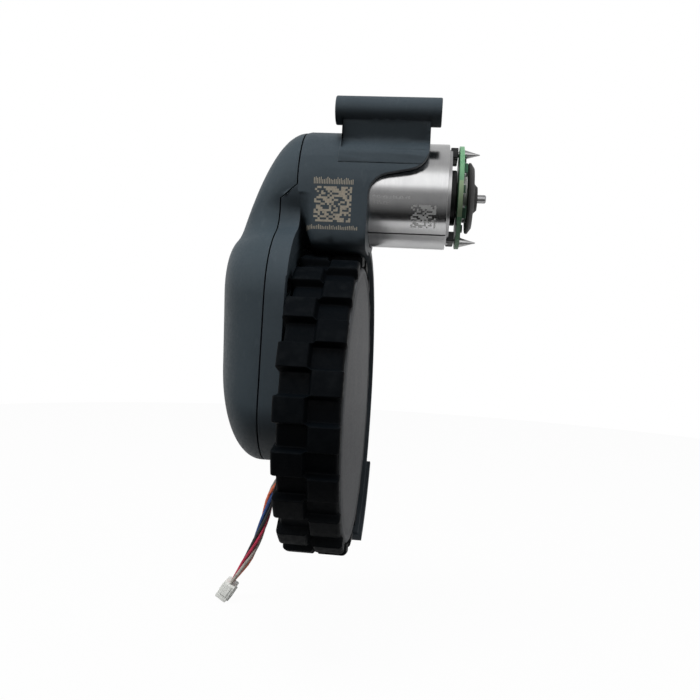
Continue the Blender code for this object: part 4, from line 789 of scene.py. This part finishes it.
def make_disc(look, carrier_look):
    """Magnet disc with a bevelled face and a stepped hub, and the pale ring behind it."""
    right = DISC_LEFT_X + DISC_THICKNESS
    bore = SHAFT_RADIUS + GAP / 3
    section = [(bore, DISC_LEFT_X), (DISC_RADIUS - 0.0003, DISC_LEFT_X),
               (DISC_RADIUS, DISC_LEFT_X + 0.0002), (DISC_RADIUS, DISC_LEFT_X + 0.0006),
               (DISC_RADIUS - 0.00025, DISC_LEFT_X + 0.0008),
               (0.007, right - 0.00005), (0.0046, right + 0.0001), (0.0034, right + 0.0003),
               (0.003, right + 0.0007), (0.0027, right + 0.001), (bore, right + 0.001)]
    add_piece("magnet_disc", turned(section, MOTOR_AXIS), look, "rotor", "disc_magnet", "encoder_disc")
    left, end = DISC_LEFT_X - GAP - 0.0006, DISC_LEFT_X - 0.00005
    section = softened([(bore, left), (CARRIER_RADIUS, left), (CARRIER_RADIUS, end), (bore, end)], 0.00012)
    add_piece("disc_carrier", turned(section, MOTOR_AXIS), carrier_look, "rotor", "carrier",
              "encoder_carrier")


def make_terminals(look):
    """Terminals with pointed solder cones that flow out on their pads."""
    tip = BOARD_FACE_X + GAP + CONE_LENGTH
    cone = ((0.00026, 0.9), (0.0005, 0.66), (0.00076, 0.4), (0.00098, 0.18), (0.00112, 0.06))
    profile = [(0, tip), (0.00014, tip - 0.0001)]
    profile += [(radius, BOARD_FACE_X + CONE_LENGTH * share) for radius, share in cone]
    profile += [(CONE_RADIUS, BOARD_FACE_X), (TERMINAL_RADIUS, BOARD_FACE_X),
                (TERMINAL_RADIUS, BOARD_X - 0.0002), (0, BOARD_X - 0.0002)]
    for name, side in (("upper", 1), ("lower", -1)):
        axis = (MOTOR_AXIS[0], MOTOR_AXIS[1] + side * TERMINAL_CIRCLE)
        add_piece(f"solder_{name}", turned_solid(profile, axis, 32), look, "arm", "solder",
                  f"terminal_{name}", sharp=60.0)


def make_board_parts(chip_look, pale_look):
    """Small chips round the rim of the board, and their soldered ends."""
    sizes = ((24.0, 0.0104, 0.0016, 0.0026, 0.0008), (-2.0, 0.0107, 0.001, 0.0018, 0.0005),
             (-30.0, 0.0101, 0.0017, 0.0024, 0.0009), (52.0, 0.01, 0.0009, 0.0018, 0.0005),
             (118.0, 0.0098, 0.002, 0.003, 0.001), (150.0, 0.0104, 0.0009, 0.0018, 0.0005),
             (205.0, 0.01, 0.0016, 0.0026, 0.0007), (240.0, 0.0098, 0.0009, 0.0018, 0.0005))
    chips = bmesh.new()
    ends = bmesh.new()
    for angle, radius, deep, wide, tall in sizes:
        turn = Matrix.Rotation(math.radians(180 - angle), 4, "X")
        turn = Matrix.Translation((BOARD_FACE_X, *MOTOR_AXIS)) @ turn
        bevelled_box(chips, (-0.00005, radius - deep / 2, -wide / 2),
                     (tall, radius + deep / 2, wide / 2), 0.00008, turn)
        for side in (-1, 1):
            end = side * wide / 2
            low, high = sorted((end - side * 0.0003, end + side * 0.00025))
            bevelled_box(ends, (-0.00005, radius - deep * 0.4, low),
                         (tall * 0.55, radius + deep * 0.4, high), 0.00006, turn)
    add_piece("board_chips", chips, chip_look, "arm", "black_plastic")
    add_piece("board_chip_ends", ends, pale_look, "arm", "solder")


# Carried-over solids

def shading_nodes():
    """Geometry nodes that weld a solid and smooth its shading up to an edge angle."""
    group = bpy.data.node_groups.new("even_shading", "GeometryNodeTree")
    for way in ("INPUT", "OUTPUT"):
        group.interface.new_socket("Geometry", in_out=way, socket_type="NodeSocketGeometry")
    tree = Nodes(group)
    tree.prefix = ""
    angle = tree.node("GeometryNodeInputMeshEdgeAngle").outputs["Unsigned Angle"]
    steep = tree.node("FunctionNodeCompare", {"A": angle, "B": math.radians(SHARP_ANGLE)})
    crease = {"Selection": steep.outputs["Result"], "Shade Smooth": False}
    chain = (tree.node("NodeGroupInput"),
             tree.node("GeometryNodeMergeByDistance", {"Distance": WELD}),
             tree.node("GeometryNodeRemoveAttribute", {"Name": "custom_normal"}),
             tree.node("GeometryNodeSetShadeSmooth"),
             tree.node("GeometryNodeSetShadeSmooth", domain="EDGE"),
             tree.node("GeometryNodeSetShadeSmooth", crease, domain="EDGE"),
             tree.node("NodeGroupOutput"))
    for before, after in zip(chain, chain[1:]):
        tree.feed(after.inputs[0], before.outputs[0])
    return group


def dress(look, *names):
    """Gives solids a finish and even shading."""
    for name in names:
        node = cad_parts[name]
        for i in range(len(node.data.materials)):
            node.data.materials[i] = look
        node.modifiers.new("even_shading", "NODES").node_group = EVEN_SHADING


# Moulded shells: the solids' own meshes, curved between their vertices

def between_circles(first, second):
    """(unit vector from one centre to the other, the one to its right, distance)."""
    along = Vector((second[0] - first[0], second[1] - first[1]))
    reach = along.length
    along.normalize()
    return along, Vector((along.y, -along.x)), reach


def tangent_normal(first, second):
    """Outward normal of the line that runs round the outside of two signed circles."""
    along, right, reach = between_circles(first, second)
    lean = max(-1.0, min(1.0, (first[2] - second[2]) / reach))
    return along * lean + right * math.sqrt(1 - lean * lean)


def belt(circles, steps):
    """Outline round a ring of (y, z, radius) circles; a negative radius is a hollow fillet."""
    loop = []
    count = len(circles)
    for i, (y, z, radius) in enumerate(circles):
        start = tangent_normal(circles[i - 1], circles[i])
        end = tangent_normal(circles[i], circles[(i + 1) % count])
        first = math.atan2(start.y, start.x)
        sweep = math.atan2(end.y, end.x) - first
        sense = math.copysign(1, radius)
        sweep = sense * ((sense * sweep + 0.5) % math.tau - 0.5)
        for step in range(steps + 1):
            angle = first + sweep * step / steps
            loop.append((y + radius * math.cos(angle), z + radius * math.sin(angle)))
    return loop


def valley_circle(upper, lower, radius):
    """Hollow fillet that touches two round lobes from the front."""
    reach_1 = upper[2] + radius
    reach_2 = lower[2] + radius
    along, right, span = between_circles(upper, lower)
    share = (span ** 2 + reach_1 ** 2 - reach_2 ** 2) / (2 * span)
    centre = Vector(upper[:2]) + along * share + right * math.sqrt(max(0.0, reach_1 ** 2 - share ** 2))
    return (centre.x, centre.y, -radius)


def form_outline(depth):
    """Outline of the gearbox shell at a share of its depth, with the solids' circles."""
    rise = max(0.0, (depth - CROWN_START) / (1 - CROWN_START))
    low = 1 - math.sqrt(max(0.0, 1 - min(1.0, rise) ** 2))
    dome = depth ** DOME_POWER
    circles = []
    shares = (dome, low, low, low, low)
    for (y, z, radius), (dy, dz, last), share in zip(RIM_CIRCLES, CROWN_MOVES, shares):
        circles.append((y + dy * share, z + dz * share, radius + (last - radius) * share))
    circles.insert(1, valley_circle(circles[0], circles[1], VALLEY_RADIUS * (1 + 5 * dome)))
    return belt(circles, FORM_STEPS)


def form_tree(rim_x):
    """Search tree of the smooth outer form from its rim to its crown."""
    points = []
    faces = []
    for i in range(FORM_DEPTHS + 1):
        share = math.sin(math.pi / 2 * i / FORM_DEPTHS)
        x = rim_x + (CROWN_X - rim_x) * share
        outline = form_outline(share)
        count = len(outline)
        points += [(x, y, z) for y, z in outline]
        if i:
            near, far = (i - 1) * count, i * count
            for j in range(count):
                k = (j + 1) % count
                faces.append((near + j, near + k, far + k, far + j))
    return BVHTree.FromPolygons(points, faces)


def solid_copy(name):
    """Welded working copy of a solid's mesh, flat areas in one face each."""
    work = bmesh.new()
    work.from_mesh(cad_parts[name].data)
    bmesh.ops.remove_doubles(work, verts=work.verts, dist=WELD)
    limit = math.radians(FLAT_ANGLE)
    bmesh.ops.dissolve_limit(work, angle_limit=limit, verts=work.verts, edges=work.edges)
    return work


def split_long(work, mark, longest, place, rounds=FORM_SPLITS):
    """Splits the marked faces' long edges and lets a function place their vertices, in rounds."""
    for _ in range(rounds):
        edges = {e for f in work.faces if f[mark] for e in f.edges if e.calc_length() > longest}
        bmesh.ops.subdivide_edges(work, edges=list(edges), cuts=1)
        bmesh.ops.triangulate(work, faces=[f for f in work.faces if f[mark] and len(f.verts) > 3])
        for vert in {v for f in work.faces if f[mark] for v in f.verts}:
            vert.co = place(vert.co)


def curve_form(work, tree):
    """Bends the flat facets of the outer form onto its smooth surface."""
    mark = work.faces.layers.int.new("form")

    def on_form(face):
        if any(tree.find_nearest(v.co)[3] > FORM_TOUCH for v in face.verts):
            return False
        _, normal, _, distance = tree.find_nearest(face.calc_center_median())
        return distance < FORM_SAG and abs(normal.dot(face.normal)) > 0.75

    def place(point):
        spot, _, _, distance = tree.find_nearest(point)
        return spot if distance < FORM_SAG else point

    for face in work.faces:
        face[mark] = on_form(face)
    split_long(work, mark, FORM_EDGE, place)


def spoke(point, axis):
    """Way from an axis along X straight out to a point."""
    return Vector((0, point.y - axis[0], point.z - axis[1]))


def curve_round(work, axis, radius):
    """Bends flat facets onto a true cylinder parallel to X."""
    mark = work.faces.layers.int.new(f"round_{radius}")

    def place(point):
        out = spoke(point, axis)
        if abs(out.length - radius) > ROUND_SAG:
            return point
        out *= radius / out.length
        return Vector((point.x, axis[0] + out.y, axis[1] + out.z))

    for face in work.faces:
        near = all(abs(spoke(v.co, axis).length - radius) < ROUND_TOUCH for v in face.verts)
        out = spoke(face.calc_center_median(), axis).normalized()
        face[mark] = near and abs(face.normal.dot(out)) > 0.97
    split_long(work, mark, ROUND_EDGE, place, ROUND_SPLITS)


def sink_tube(work):
    """Draws the tube's skin in, under the turned sleeve that shows it."""
    end = TUBE_HALF - SLEEVE_SKIN
    for vert in work.verts:
        x, y, z = vert.co
        reach = math.hypot(y, z)
        if abs(x) < TUBE_HALF + ROUND_TOUCH and TUBE_BORE / 2 <= reach <= TUBE_RADIUS + ROUND_TOUCH:
            scale = max(TUBE_BORE + SLEEVE_SKIN, min(TUBE_RADIUS - SLEEVE_SKIN, reach)) / reach
            vert.co = Vector((max(-end, min(end, x)), y * scale, z * scale))


def make_pivot_sleeve(look):
    corners = [(TUBE_RADIUS, -TUBE_HALF), (TUBE_RADIUS, TUBE_HALF),
               (TUBE_BORE, TUBE_HALF), (TUBE_BORE, -TUBE_HALF)]
    add_piece("pivot_sleeve", turned(softened(corners, SLEEVE_EDGE), (0, 0)), look, "arm", "housing")


def square_collar(work):
    """Draws the collar's lower front out to the flat wall that carries the etched square."""
    for vert in work.verts:
        out = spoke(vert.co, MOTOR_AXIS)
        if abs(out.length - COLLAR_RADIUS) > ROUND_TOUCH or out.y > 0 or out.z > 0:
            continue
        share = ease((vert.co.x - COLLAR_SQUARE_X) / COLLAR_SQUARE_RUN)
        ahead, below = abs(out.y) / out.length, abs(out.z) / out.length
        reach = (ahead ** COLLAR_SQUARE + below ** COLLAR_SQUARE) ** (-1 / COLLAR_SQUARE)
        vert.co += out * (reach - 1) * share
        vert.co.z -= out.length * COLLAR_DROP * ease(below * 2 - 0.6) * ease(ahead * 3) * share


def neck_front(point):
    """Moves the neck's front back under the tube, and lets the saddle's lower edge run out."""
    x, y, z = point
    axis_y, axis_z = MOTOR_AXIS
    ahead, above = y - axis_y, z - axis_z
    radius = math.hypot(ahead, above)
    if abs(radius - SADDLE_RADIUS) < SADDLE_TOUCH and z < SADDLE_FADE:
        fall = ease((SADDLE_FADE - z) / (SADDLE_FADE - SADDLE_END))
        scale = (SADDLE_RADIUS - fall * SADDLE_STEP) / radius
        return Vector((x, axis_y + ahead * scale, axis_z + above * scale))
    if z > SADDLE_END and radius > SADDLE_RADIUS + SADDLE_TOUCH or above > SADDLE_RADIUS:
        saddle = axis_y - math.sqrt(max(0.0, SADDLE_RADIUS ** 2 - above ** 2))
        tube = -math.sqrt(max(0.0, TUBE_RADIUS ** 2 - z * z))
        face = NECK_FACE_Y + max(0.0, NECK_TOP_Z - z) * NECK_SLOPE
        if z > NECK_VALLEY_Z and tube < face:
            return Vector((x, tube, z))
        return Vector((x, max(y, min(face, saddle if z < NECK_VALLEY_Z else 0.0)), z))
    return point


def shape_neck(work):
    mark = work.faces.layers.int.new("neck")
    for face in work.faces:
        middle = face.calc_center_median()
        off_tube = math.hypot(middle.y, middle.z) > TUBE_RADIUS * 1.01
        high = SADDLE_END - 0.0002 < middle.z < -TUBE_RADIUS * 0.2 and abs(middle.x) < TUBE_HALF
        face[mark] = face.normal.y < -0.4 and middle.y < 0.0 and high and off_tube
    split_long(work, mark, NECK_EDGE, neck_front)


def make_shells(housing_look, cover_look):
    arm = solid_copy("arm_housing")
    shape_neck(arm)
    for axis, radius in ARM_ROUNDS:
        curve_round(arm, axis, radius)
    square_collar(arm)
    sink_tube(arm)
    curve_form(arm, form_tree(ARM_RIM_X))
    make_pivot_sleeve(housing_look)
    add_piece("arm_moulding", arm, housing_look, "arm", "housing", "arm_housing")
    cover = solid_copy("gearbox_cover")
    curve_form(cover, form_tree(COVER_RIM_X))
    add_piece("cover_moulding", cover, cover_look, "arm", "cover", "gearbox_cover")


# Floor, light and background

class Light(Nodes):
    """Nodes of the floor and the world, which look at what kind of ray sees them."""

    def __init__(self, tree):
        super().__init__(tree)
        path = self.node("LightPath").outputs
        self.direct = self.maths("MAXIMUM", path["Is Camera Ray"], path["Is Transmission Ray"])
        self.glossy = path["Is Glossy Ray"]

    def mix(self, share, first, last):
        return self.node("MixShader", {0: share, 1: first, 2: last}).outputs[0]


def make_floor(height):
    """Pale floor that shows white where nothing shades it."""
    look = bpy.data.materials.new("floor_white")
    look.use_nodes = True
    light = Light(look.node_tree)
    shader = look.node_tree.nodes["Principled BSDF"]
    shader.inputs["Base Color"].default_value = FLOOR_COLOUR
    shader.inputs["Roughness"].default_value = 0.9
    glow = light.node("Emission").outputs[0]
    share = light.maths("ADD", light.product(light.direct, FLOOR_SEEN),
                        light.product(light.glossy, FLOOR_MIRRORED))
    light.feed(look.node_tree.nodes["Material Output"].inputs[0], light.mix(share, shader.outputs[0], glow))
    work = bmesh.new()
    bmesh.ops.create_circle(work, cap_ends=True, segments=96, radius=FLOOR_RADIUS,
                            matrix=Matrix.Translation((0, FLOOR_BACK, height)))
    link("floor", mesh_of("floor", work, look))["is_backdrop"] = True


def make_world():
    """White behind the object, a dim even room for its shade, and a room in bands for its gloss."""
    world = bpy.data.worlds.new("studio")
    bpy.context.scene.world = world
    world.use_nodes = True
    light = Light(world.node_tree)
    plain = world.node_tree.nodes["Background"]
    plain.inputs["Color"].default_value = WHITE
    plain.inputs["Strength"].default_value = ROOM_LEVEL
    white = light.node("Background", {"Color": WHITE})
    split = light.node("SeparateXYZ", {0: light.node("TexCoord").outputs["Generated"]})
    turn = light.maths("ARCTAN2", split.outputs[2], light.product(split.outputs[1], -1.0))
    ramp = light.node("ValToRGB", {0: light.maths("MULTIPLY_ADD", turn, 0.5 / math.pi, 0.5)})
    bar = ramp.color_ramp.elements
    bar[0].color = bar[1].color = WHITE
    for angle, level in ROOM_BANDS:
        bar.new(angle / 360 + 0.5).color = (level, level, level, 1.0)
    room = light.node("Background", {"Color": ramp.outputs[0]})
    seen = light.mix(light.glossy, plain.outputs[0], room.outputs[0])
    seen = light.mix(light.direct, seen, white.outputs[0])
    light.feed(world.node_tree.nodes["World Output"].inputs[0], seen)


def make_lights():
    """Soft lamps that face the middle of the object."""
    for name, place, size, power in LAMPS:
        lamp = bpy.data.lights.new(name, "AREA")
        lamp.size = size
        lamp.energy = power
        item = link(name, lamp)
        item.location = place
        item.visible_glossy = False
        aim = Vector(CAMERA_AIM) - Vector(place)
        item.rotation_euler = aim.to_track_quat("-Z", "Y").to_euler()


# Build

make_camera()
WIRES = {"grey": make_plain("wire_grey_pvc", (0.22, 0.2, 0.18), (0.32, 0.3, 0.27), 0.42),
         "red": make_plain("wire_red_pvc", (0.26, 0.012, 0.035), (0.38, 0.02, 0.055), 0.4),
         "black": make_plain("wire_black_pvc", (0.008, 0.008, 0.009), (0.016, 0.016, 0.017), 0.4),
         "blue": make_plain("wire_blue_pvc", (0.012, 0.04, 0.15), (0.022, 0.065, 0.21), 0.4),
         "orange": make_plain("wire_orange_pvc", (0.5, 0.11, 0.05), (0.66, 0.16, 0.08), 0.4)}
SLEEVE = make_plain("sleeve_shrink", (0.008, 0.008, 0.009), (0.018, 0.018, 0.019), 0.5)
PLUG = make_plain("plug_nylon", (0.6, 0.61, 0.58), (0.66, 0.67, 0.64), 0.42, scale=300.0, grain=0.000001)
make_harness(WIRES, SLEEVE, PLUG)

HOUSING = make_housing()
COVER = moulded("cover_moulding", (0.024, 0.034, 0.041), (0.029, 0.04, 0.048),
                (0.062, 0.075, 0.086), 0.5)[0].material
STEEL = make_metal("steel", (0.4, 0.4, 0.41), (0.58, 0.58, 0.58), 0.3).material
ZINC = make_metal("zinc_can", (0.46, 0.46, 0.47), (0.64, 0.64, 0.64), 0.3).material
BRASS = make_metal("brass", (0.58, 0.42, 0.16), (0.74, 0.57, 0.26), 0.3).material
COPPER = make_metal("copper", (0.6, 0.27, 0.14), (0.76, 0.38, 0.22), 0.32).material
SOLDER = make_plain("solder", (0.5, 0.5, 0.5), (0.62, 0.62, 0.62), 0.3, 1.0, 1800.0, 0.00002)
BLACK = make_plain("black_plastic", (0.01, 0.01, 0.011), (0.02, 0.02, 0.021), 0.46)
CHIP = make_plain("board_chip", (0.01, 0.04, 0.022), (0.02, 0.075, 0.04), 0.44)
FERRITE = make_plain("ferrite", (0.028, 0.028, 0.029), (0.05, 0.05, 0.052), 0.72)
CARBON = make_plain("carbon", (0.018, 0.018, 0.018), (0.034, 0.034, 0.034), 0.66)
ACETAL = make_plain("gear_acetal", (0.62, 0.61, 0.56), (0.74, 0.73, 0.68), 0.38)
RIM = make_plain("rim_plastic", (0.018, 0.019, 0.02), (0.028, 0.029, 0.031), 0.46)
DISC = make_plain("disc_magnet", (0.012, 0.0115, 0.0115), (0.021, 0.02, 0.02), 0.55, scale=1500.0)
CARRIER = make_plain("carrier_plastic", (0.6, 0.6, 0.58), (0.72, 0.72, 0.7), 0.5)

EVEN_SHADING = shading_nodes()
make_shells(HOUSING, COVER)
dress(STEEL, *(f"cover_screw_{i}" for i in (1, 2, 3, 4)), "motor_screw_1", "motor_screw_2", "motor_shaft",
      "armature", *(f"gear_pin_{i}" for i in (1, 2, 3)), "axle", "outer_bearing", "inner_bearing",
      "axle_spacer", "wheel_screw")
dress(ZINC, "motor_can")
dress(FERRITE, "magnet_upper", "magnet_lower")
dress(COPPER, "commutator")
dress(CARBON, "brush_front", "brush_back")
dress(BRASS, "front_bush", "rear_bush", "motor_pinion")
dress(BLACK, "hall_sensor_1", "hall_sensor_2")
dress(make_board_finish(), "encoder_board")
dress(ACETAL, "gear_1", "gear_2", "gear_3", "output_gear")
dress(RIM, "wheel_rim")

make_tyre(make_rubber())
make_hub_cap(make_cap_finish())
make_flux_ring(make_ring_metal())
make_end_cap(BLACK)
make_disc(DISC, CARRIER)
make_terminals(SOLDER)
make_board_parts(CHIP, SOLDER)

make_floor(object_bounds()[0][2])
make_world()
make_lights()
bpy.context.scene.view_settings.view_transform = "Standard"
